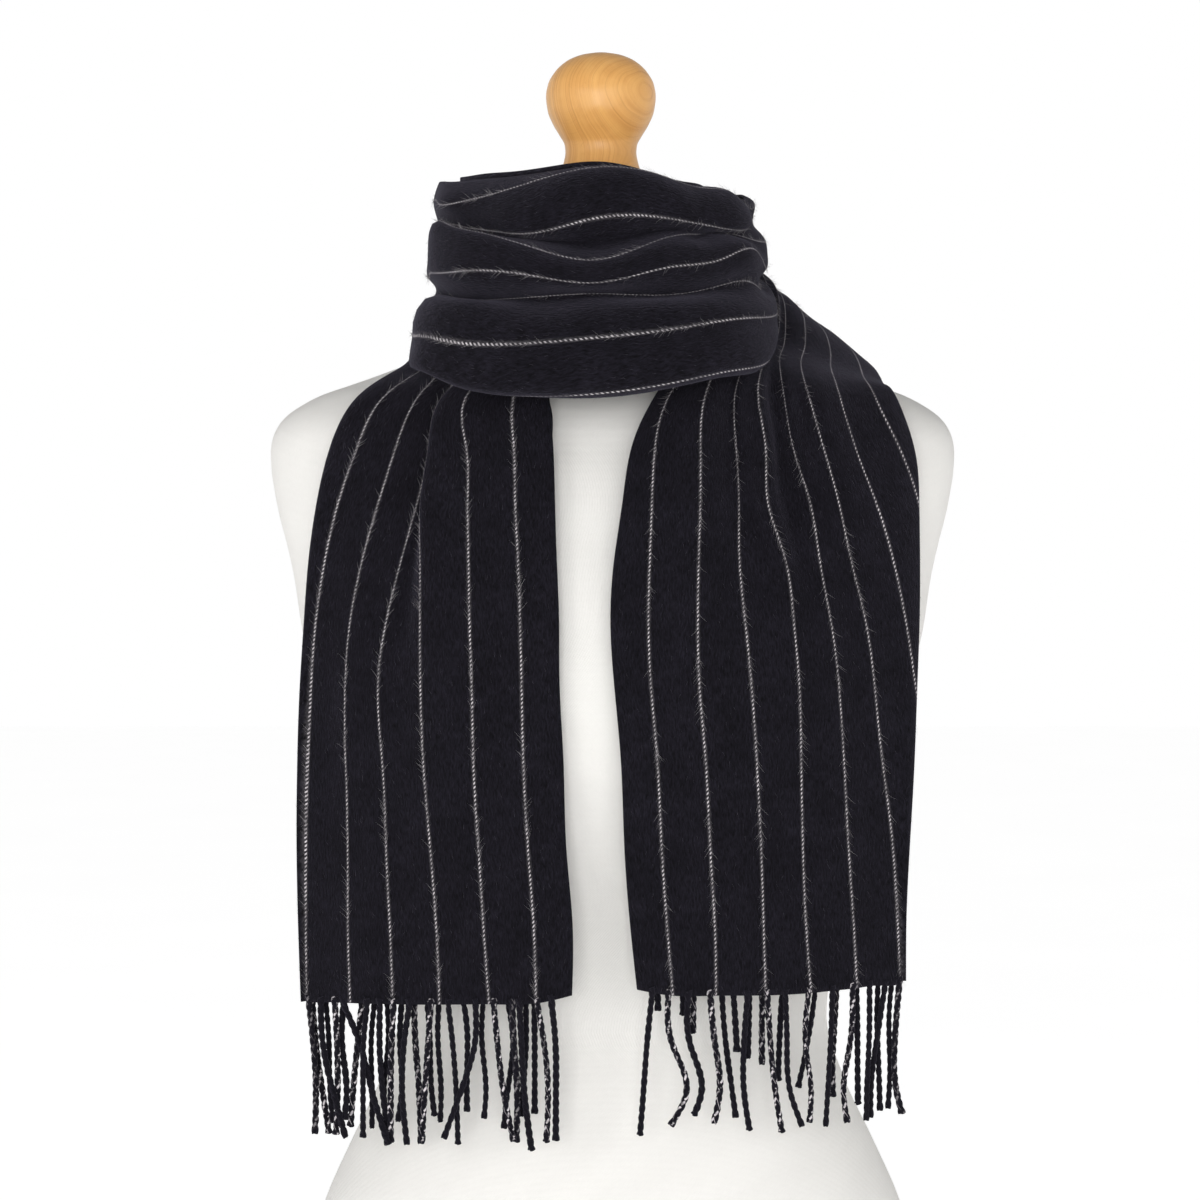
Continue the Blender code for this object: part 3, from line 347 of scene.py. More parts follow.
# %% Shoulders and back
# Sections by angle: the first angle is at the rim, the second at the folded edge. Each line has
# a distance from the upright line and a height. The inner and outer wraps come from these too.
SHOULDER_LEFT = table(
    "rim_angle edge_angle fold_at roll_radius rim_r rim_z s2_r s2_z s4_r s4_z s6_r s6_z edge_r edge_z"
    " low_r top_r",
    (-31, -69, 177, 2.0, 64, 618, 79, 608, 92, 604, 104, 602, 116, 600, 0, 0),
    (-47, -75, 178, 2.4, 62, 637.5, 72, 621, 86, 614, 97.5, 609, 107, 605.3, 0, 0),
    (-62, -80, 178, 2.5, 63, 656, 71.5, 632, 80.5, 620.5, 91, 613.5, 99, 609.5, 0, 0),
    (-76, -87, 178, 2.3, 62, 676, 68, 649, 75.5, 632, 85, 622, 93, 615.5, 59, 57.5),
    (-90, -94, 178, 2.2, 62, 690, 66, 662, 71, 641, 78, 627, 86, 620, 58, 57.5),
    (-118, -118, 178, 3.0, 64, 699, 68, 670, 72, 647, 78, 632, 82, 622, 61, 58.5),
)
WRAP_INNER = table(
    "rim_angle edge_angle fold_at roll_radius rim_r rim_z s2_r s2_z s4_r s4_z s6_r s6_z edge_r edge_z"
    " low_r top_r",
    (-148, -148, 180, 4.0, 64, 703, 69, 681, 72, 657, 76, 635, 73, 620, 61, 58.5),
    (-180, -180, 182, 4.5, 64, 704, 69, 683, 72, 659, 76, 636, 72, 619, 61, 58.5),
    (-212, -212, 184, 4.0, 64, 704, 69, 685, 72, 662, 76, 641, 73, 626, 61, 58.5),
    (-242, -242, 185, 3.5, 65, 702, 70, 688, 74, 668, 77, 650, 74, 638, 62, 59.5),
)
LOOP_RIGHT = table(
    "rim_angle edge_angle fold_at roll_radius rim_r rim_z s2_r s2_z s4_r s4_z s6_r s6_z edge_r edge_z"
    " low_r top_r",
    (95, 95, 186, 4.0, 74, 701, 83, 692, 81, 673, 81, 657, 76, 644, 64, 62),
    (85, 85, 187, 5.0, 80, 700, 90, 690, 88, 668, 89, 650, 82, 636, 66, 64),
    (75, 75, 187, 6.5, 84, 697, 95, 687, 96, 662, 99, 642, 90, 627, 70, 67),
    (64, 64, 188, 8.0, 86, 693, 100, 682, 103, 656, 109, 632, 98, 616.5, 76, 71),
)
LOOP_LEFT = table(
    "rim_angle edge_angle fold_at roll_radius rim_r rim_z s2_r s2_z s4_r s4_z s6_r s6_z edge_r edge_z"
    " low_r top_r",
    (-76, -76, 178, 7.5, 89, 706, 96, 682, 97, 653, 104, 629, 95, 619, 80, 78),
    (-90, -90, 177, 7.0, 89, 707, 95, 683, 96, 655, 102, 631, 94, 620, 79, 77),
    (-105, -105, 177, 7.0, 87, 705, 94, 683, 96, 656, 103, 630, 97, 615, 80, 77),
)
WRAP_OUTER = table(
    "rim_angle edge_angle fold_at roll_radius rim_r rim_z s2_r s2_z s4_r s4_z s6_r s6_z edge_r edge_z"
    " low_r top_r",
    (-130, -130, 180, 7.5, 84, 699, 92, 680, 98, 655, 105, 626, 99, 606, 81, 78),
    (-155, -155, 185, 8.0, 84, 695, 92, 677, 98, 651, 105, 620, 98, 597, 82, 78),
    (-180, -180, 192, 8.5, 84, 692, 92, 675, 98, 649, 105, 616, 97, 591, 82, 78),
    (-207, -207, 200, 8.5, 84, 689, 92, 673, 98, 648, 105, 618, 98, 597, 83, 78),
    (-232, -232, 212, 6.5, 84, 684, 92, 667, 99, 648, 108, 626, 109, 605, 83.5, 75),
)
SHOULDER_RIGHT = table(
    "rim_angle edge_angle fold_at roll_radius rim_r rim_z s2_r s2_z s4_r s4_z s6_r s6_z edge_r edge_z"
    " low_r top_r",
    (105, 105, 222, 4.4, 84, 672, 91, 664, 100, 656, 112, 643, 136, 617, 0, 0),
    (96, 97, 226, 3.0, 88, 649, 94, 647, 102, 647, 115, 637, 143, 612, 0, 0),
    (85, 90, 228, 2.4, 86, 630, 93, 629, 102, 631, 116, 627, 150, 605, 0, 0),
    (74, 83, 228, 2.0, 81, 625.5, 91, 620.5, 102, 617, 117, 615, 156, 599, 0, 0),
    (59, 76, 228, 2.0, 75, 624, 89, 613, 103, 607, 119, 606, 162, 591, 0, 0),
)

# Two soft valleys carry on round the sides and the back of the neck.
VALLEYS = table(
    "line width depth",
    (54, 15, 8),
    (122, 13, 9),
)

# %% From a picture to a place
def along_sight(across, height, y):
    """The real point at depth y that is seen at this place in the picture plane."""
    reach = (y - CAMERA[1]) / (PICTURE_Y - CAMERA[1])
    return np.array([CAMERA[0] + (across - CAMERA[0]) * reach, y,
                     CAMERA[2] + (height - CAMERA[2]) * reach])


def around(angle, radius, height):
    """A point at an angle round the neck, measured from the front towards the right."""
    turn = math.radians(angle)
    return np.array([WRAP_X + radius * math.sin(turn), WRAP_Y - radius * math.cos(turn), height])

# %% Sections
def section(points, fold_at, roll_radius, edge, inward, lining):
    """One section across the doubled cloth: its face, the folded edge, and the layer behind.

    points   the lines of the face that are known, by name
    edge     the outermost point of the fold
    inward   the way from the face to the layer behind
    lining   a function of (line distance, gap) or a list of points from the fold to the selvedge
    """
    before = points["mid"] if "mid" in points else points["s6"]
    out = unit(edge - before)
    inward = unit(inward - out * np.dot(inward, out))
    centre = edge - out * roll_radius
    roll_at = fold_at - roll_radius * math.pi / 2
    at = {**LINE_AT, "mid": (LINE_AT["s6"] + roll_at) / 2, "roll": roll_at}
    points = {**points, "roll": centre - inward * roll_radius}
    known = [name for name in LINES if name in points]
    face = smooth([at[name] for name in known], [points[name] for name in known],
                  [at[name] for name in LINES])
    turn = np.radians([45, 90, 135])[:, None]
    arc = centre + roll_radius * (out * np.sin(turn) - inward * np.cos(turn))
    start = centre + inward * roll_radius
    start_at = fold_at + roll_radius * math.pi / 2
    lining_at = np.linspace(start_at, CLOTH_WIDTH, BEHIND + 1)
    if callable(lining):
        behind = [lining(2 * fold_at - u, inward) for u in lining_at[1:]]
    else:
        behind = smooth(np.linspace(start_at, CLOTH_WIDTH, len(lining) + 1), [start, *lining],
                        lining_at[1:])
    place = np.vstack([face, arc, start, behind])
    width_at = np.concatenate([[at[name] for name in LINES],
                               fold_at + roll_radius * np.radians([-45, 0, 45]), lining_at])
    return place, width_at


def drape_y(x, z):
    width = smooth(DRAPE["height"], DRAPE["half_width"], z)[0]
    depth = smooth(DRAPE["height"], DRAPE["half_depth"], z)[0]
    side = min(abs(x) / width, 0.999) ** DRAPE_SQUARENESS
    return -depth * (1 - side) ** (1 / DRAPE_SQUARENESS)


def on_drape(across, height, behind):
    """A point of the tail's face, at its place in the picture plane."""
    point = along_sight(across, height, PICTURE_Y)
    for _ in range(4):
        point = along_sight(across, height, drape_y(point[0], point[2]) + behind)
    return point


def tail_sections(tail, pleat, hem):
    """The sections of a tail from its hem up to the loop."""
    made = []
    for row, height in enumerate(tail["height"]):
        fold_at = tail["fold_at"][row]

        def level(u):
            if height >= HEM_REACH:
                return height
            low = smooth(hem["across"], hem["height"], u)[0]
            return low + (HEM_REACH - low) * (height - tail["height"][0]) / (
                HEM_REACH - tail["height"][0])

        def depth(name):
            if name not in pleat or height < pleat["height"][0]:
                return 0.0
            return float(smooth(pleat["height"], pleat[name], height)[0])

        side = np.sign(tail["edge"][row])
        skin = side * CLOTH_THICK / 2     # the fold is seen at its outer face
        points = {}
        for name in [name for name in LINES if name in tail]:
            at = LINE_AT.get(name, (LINE_AT["s6"] + fold_at) / 2)
            inset = skin if name == "mid" else 0
            points[name] = on_drape(tail[name][row] - inset, level(at), depth(name))
        edge = on_drape(tail["edge"][row] - skin, level(fold_at), TAIL_FOLD_RADIUS)
        inner_edge = tail["rim"][row]
        deepest = max(0.0, *[depth(name) for name in pleat if name in LINES])

        def lining(u, inward):
            """The layer behind, at the same distance from the fold as the face's line u."""
            share = (fold_at - u) / fold_at
            across = tail["edge"][row] - side * 0.93 * (fold_at - u)
            across = max(across, inner_edge + 1) if side > 0 else min(across, inner_edge - 1)
            room = 2 * TAIL_FOLD_RADIUS + deepest * min(1.0, BEHIND_PLEATS * math.sin(math.pi * share))
            point = on_drape(across, level(2 * fold_at - u), room)
            return clear_of_form(point, CLOTH_THICK / 2 + REST_GAP)

        made.append(section(points, fold_at, TAIL_FOLD_RADIUS, edge, np.array([0, 1.0, 0]), lining))
    return made


def loop_sections():
    """The front of the loop, from right to left."""
    made = []
    for row in range(len(LOOP_REACH["angle"]) - 1, -1, -1):
        angle = LOOP_REACH["angle"][row]
        points = {}
        for name in [*LINES[:-1], "edge"]:
            flat = around(angle, LOOP_REACH[name][row], 0)
            across = CAMERA[0] + (flat[0] - CAMERA[0]) * (PICTURE_Y - CAMERA[1]) / (
                flat[1] - CAMERA[1])
            height = smooth(LOOP_HEIGHT["across"], LOOP_HEIGHT[name], across)[0]
            points[name] = along_sight(across, height, flat[1])
        edge = points.pop("edge")
        inward = around(angle, 0, 0) - around(angle, 1, 0)
        top = around(angle, LOOP_REACH["lining_top"][row], points["rim"][2] + 4)
        low = around(angle, LOOP_REACH["lining_low"][row], edge[2] + (top[2] - edge[2]) * LINING_LOW)
        made.append(section(points, LOOP_REACH["fold_at"][row], LOOP_REACH["roll_radius"][row],
                            edge, inward, [low, top]))
    return made


def wrap_sections(rows, valley=1.0):
    """Sections round the neck or over a shoulder, in the order of the table."""
    made = []
    for row in range(len(rows["rim_angle"])):
        start, end = rows["rim_angle"][row], rows["edge_angle"][row]
        fold_at = rows["fold_at"][row]
        known = {"rim": 0, "s2": LINE_AT["s2"], "s4": LINE_AT["s4"], "s6": LINE_AT["s6"]}
        lines = list(known.values()) + [fold_at]
        radii = [rows[name + "_r"][row] for name in (*known, "edge")]
        heights = [rows[name + "_z"][row] for name in (*known, "edge")]

        def base(u):
            angle = start + (end - start) * min(u / fold_at, 1)
            radius = smooth(lines, radii, u)[0]
            for line, width, depth in zip(*VALLEYS.values()):
                radius -= valley * depth * math.exp(-((u - line) / width) ** 2)
            return around(angle, radius, smooth(lines, heights, u)[0])

        points = {name: base(at) for name, at in LINE_AT.items()}
        edge = base(fold_at)
        wrapped = rows["low_r"][row] > 0
        middle = (start + end) / 2
        if wrapped:
            inward = around(end, 0, 0) - around(end, 1, 0)
            top = around(start, rows["top_r"][row], rows["rim_z"][row] + 3)
            low = around(middle, rows["low_r"][row], edge[2] + (top[2] - edge[2]) * LINING_LOW)
            lining = [low, top]
        else:
            inward = np.array([0, 0, -1.0])

            def lining(u, inward, base=base):
                at = max(u, 0)
                slope = unit(base(at + 4) - base(max(at - 4, 0)))
                inward = unit(inward - slope * np.dot(inward, slope))
                point = base(at) + inward * 2 * rows["roll_radius"][row]
                return clear_of_form(point, CLOTH_THICK / 2 + REST_GAP)

            points = {name: clear_of_form(point, CLOTH_THICK * 1.5 + 2 * REST_GAP)
                      for name, point in points.items()}
        made.append(section(points, fold_at, rows["roll_radius"][row], edge, inward, lining))
    return made


def whole_cloth():
    """Every section from the left hem to the right hem, and the stretches between them."""
    left = tail_sections(LEFT_TAIL, LEFT_PLEAT, LEFT_HEM)
    right = tail_sections(RIGHT_TAIL, RIGHT_PLEAT, RIGHT_HEM)[::-1]
    groups = [
        left,
        wrap_sections(SHOULDER_LEFT, 0.1),
        wrap_sections(WRAP_INNER, 0.35),
        wrap_sections(LOOP_RIGHT),
        loop_sections(),
        wrap_sections(LOOP_LEFT),
        wrap_sections(WRAP_OUTER),
        wrap_sections(SHOULDER_RIGHT, 0.4),
        right,
    ]
    counts = np.cumsum([len(group) for group in groups])
    rows = [row for group in groups for row in group]
    places = np.array([place for place, _ in rows])
    widths = np.array([at for _, at in rows])
    stretches = {
        "left_tail": (0, counts[0] + 5),
        "back_wrap_inner": (counts[0] + 5, counts[2]),
        "neck_loop": (counts[2], counts[5] - 1),
        "back_wrap_outer": (counts[5] - 1, counts[6]),
        "right_tail": (counts[6], counts[8] - 1),
    }
    return places, widths, stretches

# %% [markdown]
# ## The cloth as a fine grid
# The sections become a grid of about forty thousand points, close enough for small creases. Along the
# cloth and across it, a cubic spline joins the known points, so folds stay round. Every point
# also knows where it lies on the flat cloth, and that flat place drives stripes, nap and creases.

# %% More sections along, more lines across
ALONG = 440               # sections from hem to hem
SPLITS = [7, 9, 4, 4, 4, 4, 4, 4, 4, 4, 4, 4, 2, 2, 2, 2, 2, 2, 4, 5, 5, 5, 5]
FACE = sum(SPLITS[:12])   # the face ends where the fold's roll begins
ROLLED = 16               # the known line at which the roll has turned right round
EASE = (0.16, 0.5)       # two more points after it keep the layer behind from swinging out


def run_length(places):
    """How far along the cloth each section is, measured on its face."""
    middle = places[:, 2:9].mean(axis=1)
    return np.concatenate([[0], np.cumsum(np.linalg.norm(np.diff(middle, axis=0), axis=1))])


def fine_across(knots):
    """Points between the known lines, on a smooth curve through each section."""
    rows, count = knots.shape[:2]
    gap = np.maximum(np.linalg.norm(np.diff(knots, axis=1), axis=2), 0.05)
    matrix = np.zeros((rows, count, count))
    target = np.zeros_like(knots)
    matrix[:, 0, 0] = matrix[:, -1, -1] = 1
    rise = np.diff(knots, axis=1) / gap[..., None]
    for i in range(1, count - 1):
        matrix[:, i, i - 1] = gap[:, i - 1]
        matrix[:, i, i] = 2 * (gap[:, i - 1] + gap[:, i])
        matrix[:, i, i + 1] = gap[:, i]
        target[:, i] = 6 * (rise[:, i] - rise[:, i - 1])
    bend = np.linalg.solve(matrix, target)
    made = []
    for i, parts in enumerate(SPLITS):
        for share in np.arange(parts) / parts:
            a, b = 1 - share, share
            pull = (a ** 3 - a) * bend[:, i] + (b ** 3 - b) * bend[:, i + 1]
            made.append(a * knots[:, i] + b * knots[:, i + 1] + pull * (gap[:, i] ** 2 / 6)[:, None])
    return np.stack([*made, knots[:, -1]], axis=1)


def eased(values):
    """The same lines, with two more on the straight way from the roll to the layer behind."""
    start, end = values[:, ROLLED], values[:, ROLLED + 1]
    more = [start + (end - start) * share for share in EASE]
    return np.concatenate([values[:, :ROLLED + 1], np.stack(more, axis=1), values[:, ROLLED + 1:]], axis=1)


def between_lines(values):
    """The same number of values between the known lines, evenly spaced."""
    made = [values[:, i] + (values[:, i + 1] - values[:, i]) * share
            for i, parts in enumerate(SPLITS) for share in np.arange(parts) / parts]
    return np.stack([*made, values[:, -1]], axis=1)


places, widths, stretches = whole_cloth()
run = run_length(places)
lengths = np.linspace(0, run[-1], ALONG)
knots = spline(run, places.reshape(len(run), -1), lengths).reshape(ALONG, -1, 3)
grid = fine_across(eased(knots))
across = between_lines(eased(smooth(run, widths, lengths)))
along = np.repeat(lengths[:, None], across.shape[1], axis=1)
print("points on the cloth:", grid.shape[0] * grid.shape[1], "cloth length in mm:", round(run[-1]))

# %% [markdown]
# ## Creases
# Besides its big folds, soft wool shows shallow ridges and troughs. Each is a row of a table: where
# it starts and ends on the flat cloth, how wide it is and how far it stands out. A trough has a
# negative height. They are uneven on purpose, and the back has some of its own.

# %% A table of creases
LOOP_CENTRE = float(run[stretches["neck_loop"][0] + 8])
CREASES = table(
    "start_along start_across end_along end_across width height",
    (280, 88, 190, 84, 9, -0.8),
    (250, 64, 60, 58, 13, 1.1),
    (170, 33, 40, 38, 11, -0.9),
    (225, 118, 120, 128, 10, 0.9),
    (130, 100, 20, 92, 9, -0.7),
    (1440, 88, 1512, 88, 9, -2.4),
    (1475, 63, 1620, 58, 12, 1.2),
    (1560, 36, 1680, 40, 11, -0.9),
    (1500, 120, 1665, 116, 11, 1.1),
    (1470, 143, 1590, 140, 9, -0.8),
)


def bump(values, row):
    """A soft ridge along a line on the flat cloth, fading at both ends."""
    start = np.array([CREASES["start_along"][row], CREASES["start_across"][row]])
    end = np.array([CREASES["end_along"][row], CREASES["end_across"][row]])
    way = end - start
    long = np.linalg.norm(way)
    way = way / long
    flat = values - start
    share = np.clip(flat @ way / long, -0.2, 1.2)
    off = flat @ np.array([-way[1], way[0]])
    fade = np.clip((0.5 - np.abs(share - 0.5)) / 0.3 + 0.3, 0, 1)
    fade = fade * fade * (3 - 2 * fade)
    return CREASES["height"][row] * np.exp(-(off / CREASES["width"][row]) ** 2) * fade


def outward(grid):
    """The unit normal at every point, out of the cloth's face."""
    normal = np.cross(np.gradient(grid, axis=0), np.gradient(grid, axis=1))
    return normal / np.maximum(np.linalg.norm(normal, axis=2, keepdims=True), 1e-9)


def undulation(along, across):
    """Slow, low waves that no cloth is without."""
    wave = np.sin(along / 31 + across / 47) * np.sin(along / 83 - across / 29 + 1.3)
    wave += 0.6 * np.sin(along / 19 - across / 23 + 0.7) * np.sin(along / 57 + across / 61)
    return wave


LINING_GAP = CLOTH_THICK / 2 + REST_GAP
FACE_GAP = CLOTH_THICK * 1.5 + 2 * REST_GAP
room = np.where(np.arange(grid.shape[1]) <= FACE, FACE_GAP, LINING_GAP)
flat = np.stack([along, across], axis=2)
swell = sum(bump(flat, row) for row in range(len(CREASES["width"])))
hung = np.clip((300 - along) / 60, 0, 1) + np.clip((along - 1430) / 60, 0, 1)
on_face = np.clip((FACE + 2 - np.arange(grid.shape[1])) / 6, 0, 1)
swell = (swell + 0.45 * undulation(along, across) * hung) * on_face
grid = grid + outward(grid) * swell[..., None]
grid = clear_of_form(grid, room)
print("creases:", len(CREASES["width"]), "tallest in mm:", round(float(np.abs(swell).max()), 1))

# %% [markdown]
# ## Helpers for shader nodes
# A material is a small graph. These helpers add one node each, and take sockets or plain numbers,
# so that a finish reads like a formula. Effects that several finishes share become node groups.

# %% Node helpers
def put(tree, value, socket):
    """Link a socket, or set a plain number, colour or vector."""
    if isinstance(value, bpy.types.NodeSocket):
        tree.links.new(value, socket)
    else:
        socket.default_value = value


def calc(tree, operation, *values):
    """One Math node."""
    node = tree.nodes.new("ShaderNodeMath")
    node.operation = operation
    for value, socket in zip(values, node.inputs):
        put(tree, value, socket)
    return node.outputs[0]


def ramp(tree, value, low, high, start=0.0, end=1.0):
    """A smooth step from start to end as the value goes from low to high."""
    node = tree.nodes.new("ShaderNodeMapRange")
    node.interpolation_type = "SMOOTHSTEP"
    for given, socket in zip((value, low, high, start, end), node.inputs):
        put(tree, given, socket)
    return node.outputs[0]


def blend_colour(tree, share, first, second, way="MIX"):
    node = tree.nodes.new("ShaderNodeMix")
    node.data_type = "RGBA"
    node.blend_type = way
    for value, socket in zip((share, first, second), (node.inputs[0], node.inputs[6], node.inputs[7])):
        put(tree, value, socket)
    return node.outputs[2]


def grey(tree, value):
    """A grey colour from a value."""
    node = tree.nodes.new("ShaderNodeCombineXYZ")
    for socket in node.inputs:
        put(tree, value, socket)
    return node.outputs[0]


def place_at(tree, x, y, z=0.0):
    node = tree.nodes.new("ShaderNodeCombineXYZ")
    for value, socket in zip((x, y, z), node.inputs):
        put(tree, value, socket)
    return node.outputs[0]


def noise(tree, place, scale=1.0, detail=2.0, roughness=0.5):
    node = tree.nodes.new("ShaderNodeTexNoise")
    put(tree, place, node.inputs["Vector"])
    node.inputs["Scale"].default_value = scale
    node.inputs["Detail"].default_value = detail
    node.inputs["Roughness"].default_value = roughness
    return node.outputs["Fac"]


def split(tree, vector):
    node = tree.nodes.new("ShaderNodeSeparateXYZ")
    put(tree, vector, node.inputs[0])
    return node.outputs


def use_group(tree, group, **values):
    node = tree.nodes.new("ShaderNodeGroup")
    node.node_tree = group
    for name, value in values.items():
        put(tree, value, node.inputs[name])
    return node.outputs


def new_group(name, inputs, outputs):
    """A shader group: inputs are (name, default) pairs, outputs are names."""
    group = bpy.data.node_groups.new(name, "ShaderNodeTree")
    for label, value in inputs:
        socket = group.interface.new_socket(label, in_out="INPUT", socket_type="NodeSocketFloat")
        socket.default_value = value
    for label in outputs:
        group.interface.new_socket(label, in_out="OUTPUT", socket_type="NodeSocketFloat")
    return group, group.nodes.new("NodeGroupInput").outputs, group.nodes.new("NodeGroupOutput").inputs


def new_finish(name, roughness):
    """A material with its Principled shader."""
    material = bpy.data.materials.new(name)
    material.use_nodes = True
    tree = material.node_tree
    shader = tree.nodes["Principled BSDF"]
    shader.inputs["Roughness"].default_value = roughness
    return material, tree, shader


def bumped(tree, shader, height, distance, strength=1.0):
    node = tree.nodes.new("ShaderNodeBump")
    put(tree, height, node.inputs["Height"])
    node.inputs["Distance"].default_value = distance
    node.inputs["Strength"].default_value = strength
    tree.links.new(node.outputs["Normal"], shader.inputs["Normal"])


def from_map(tree, name):
    """The piece's own UV map, as millimetres across and along."""
    node = tree.nodes.new("ShaderNodeUVMap")
    node.uv_map = name
    x, y, _ = split(tree, node.outputs["UV"])
    return calc(tree, "MULTIPLY", x, 1000.0), calc(tree, "MULTIPLY", y, 1000.0)


# %% [markdown]
# ## Two effects that more than one finish uses
# Brushed wool is a mat of fibres that lie nearly one way, so its noise is stretched far along and
# squeezed across. Slow mottle is the uneven tone that any cloth or wood has over a few centimetres.
# Both are groups with named inputs in millimetres, so each finish sets its own scale.

# %% Group: brushed fibres
FIBRES, given, out = new_group("brushed fibres", [("Across", 0), ("Along", 0), ("Width", 0.5), ("Length", 4)],
                               ["Tone", "Height"])
wander = noise(FIBRES, place_at(FIBRES, calc(FIBRES, "DIVIDE", given["Across"], 9.0),
                                calc(FIBRES, "DIVIDE", given["Along"], 7.0)), detail=1.0)
swayed = calc(FIBRES, "MULTIPLY_ADD", wander, 3.0, given["Across"])
fibre_place = place_at(FIBRES, calc(FIBRES, "DIVIDE", swayed, given["Width"]),
                       calc(FIBRES, "DIVIDE", given["Along"], given["Length"]))
coarse = noise(FIBRES, fibre_place, 1.0, 3.0, 0.65)
finer = noise(FIBRES, fibre_place, 2.3, 2.0, 0.6)
tone = ramp(FIBRES, calc(FIBRES, "ADD", calc(FIBRES, "MULTIPLY", coarse, 0.6),
                         calc(FIBRES, "MULTIPLY", finer, 0.4)), 0.3, 0.7)
FIBRES.links.new(tone, out["Tone"])
FIBRES.links.new(coarse, out["Height"])
print("nodes in the fibre group:", len(FIBRES.nodes))

# %% Group: slow mottle
MOTTLE, given, out = new_group("slow mottle", [("X", 0), ("Y", 0), ("Z", 0), ("Size", 30)], ["Tone"])
spot = place_at(MOTTLE, *[calc(MOTTLE, "DIVIDE", given[name], given["Size"]) for name in "XYZ"])
MOTTLE.links.new(ramp(MOTTLE, noise(MOTTLE, spot, 1.0, 3.0, 0.55), 0.25, 0.75), out["Tone"])
print("nodes in the mottle group:", len(MOTTLE.nodes))

# %% [markdown]
# ## The finish of the cashmere
# The cloth is a charcoal twill, brushed until its weave is hidden under a nap. Each chalk stripe is
# a few light warp threads, so it shows as short slanted dashes with a soft halo of fibres. Colour
# and bump both come from the flat place on the cloth, and a little sheen lightens the rims.

# %% Cashmere
STRIPE_CORE = 0.40        # half the width of a stripe, in millimetres
STRIPE_HALO = 1.7
DASH_PITCH = 2.25         # from one slanted dash to the next
CHARCOAL = (0.0061, 0.0055, 0.0083, 1)
CHALK = (0.60, 0.56, 0.58, 1)


def chalk_mask(tree, across, along, fibres):
    """How much of the light thread shows at this place on the cloth."""
    shift = calc(tree, "SUBTRACT", across, FIRST_STRIPE)
    nearest = calc(tree, "MULTIPLY", calc(tree, "ROUND", calc(tree, "DIVIDE", shift, STRIPE_PITCH)),
                   STRIPE_PITCH)
    away = calc(tree, "ABSOLUTE", calc(tree, "SUBTRACT", shift, nearest))
    ragged = noise(tree, place_at(tree, calc(tree, "DIVIDE", across, 0.9),
                                  calc(tree, "DIVIDE", along, 2.2)), detail=3.0)
    away = calc(tree, "MULTIPLY_ADD", calc(tree, "SUBTRACT", ragged, 0.5), 0.9, away)
    core = ramp(tree, away, STRIPE_CORE * 0.7, STRIPE_CORE * 1.6, 1.0, 0.0)
    halo = ramp(tree, away, STRIPE_CORE, STRIPE_HALO, 0.10, 0.0)
    halo = calc(tree, "MULTIPLY", halo, fibres)
    turn = calc(tree, "MULTIPLY", calc(tree, "ADD", across, along), 2 * math.pi / DASH_PITCH)
    wave = calc(tree, "MULTIPLY_ADD", calc(tree, "SUBTRACT", ragged, 0.5), 1.0, calc(tree, "SINE", turn))
    dash = ramp(tree, wave, -0.15, 0.6, 0.04, 1.0)
    worn = use_group(tree, MOTTLE, X=across, Y=along, Size=16.0)["Tone"]
    core = calc(tree, "MULTIPLY", calc(tree, "MULTIPLY", core, dash), ramp(tree, worn, 0.1, 0.9, 0.45, 1.0))
    return calc(tree, "MAXIMUM", core, halo)


CASHMERE, tree, shader = new_finish("charcoal cashmere", 0.92)
across_mm, along_mm = from_map(tree, "cloth")
fibres = use_group(tree, FIBRES, Across=across_mm, Along=along_mm, Width=0.85, Length=5.0)
mottle = use_group(tree, MOTTLE, X=across_mm, Y=along_mm, Size=24.0)["Tone"]
waves = noise(tree, place_at(tree, calc(tree, "DIVIDE", across_mm, 11.0),
                             calc(tree, "DIVIDE", along_mm, 15.0)), detail=3.0)
shade = calc(tree, "MULTIPLY_ADD", fibres["Tone"], 1.7, 0.1)
shade = calc(tree, "MULTIPLY", shade, ramp(tree, waves, 0.25, 0.75, 0.88, 1.12))
shade = calc(tree, "MULTIPLY", shade, ramp(tree, mottle, 0.0, 1.0, 0.85, 1.15))
ground = blend_colour(tree, 1.0, CHARCOAL, grey(tree, shade), "MULTIPLY")
mask = chalk_mask(tree, across_mm, along_mm, fibres["Tone"])
tree.links.new(blend_colour(tree, mask, ground, CHALK), shader.inputs["Base Color"])
relief = calc(tree, "MULTIPLY_ADD", waves, 0.4, calc(tree, "MULTIPLY", fibres["Height"], 0.6))
relief = calc(tree, "MULTIPLY_ADD", mask, 0.15, relief)
bumped(tree, shader, relief, 0.0011)
shader.inputs["Specular IOR Level"].default_value = 0.08
shader.inputs["Sheen Weight"].default_value = 0.11
shader.inputs["Sheen Roughness"].default_value = 0.45
shader.inputs["Sheen Tint"].default_value = (0.62, 0.58, 0.78, 1)
print("nodes in the cashmere:", len(tree.nodes))

# %% [markdown]
# ## The scarf
# The grid becomes one mesh with a UV map in metres on the flat cloth. A Solidify modifier gives it
# the real thickness. One mesh stands for all five stretches of the scarf, because the real cloth
# has no seam between them.

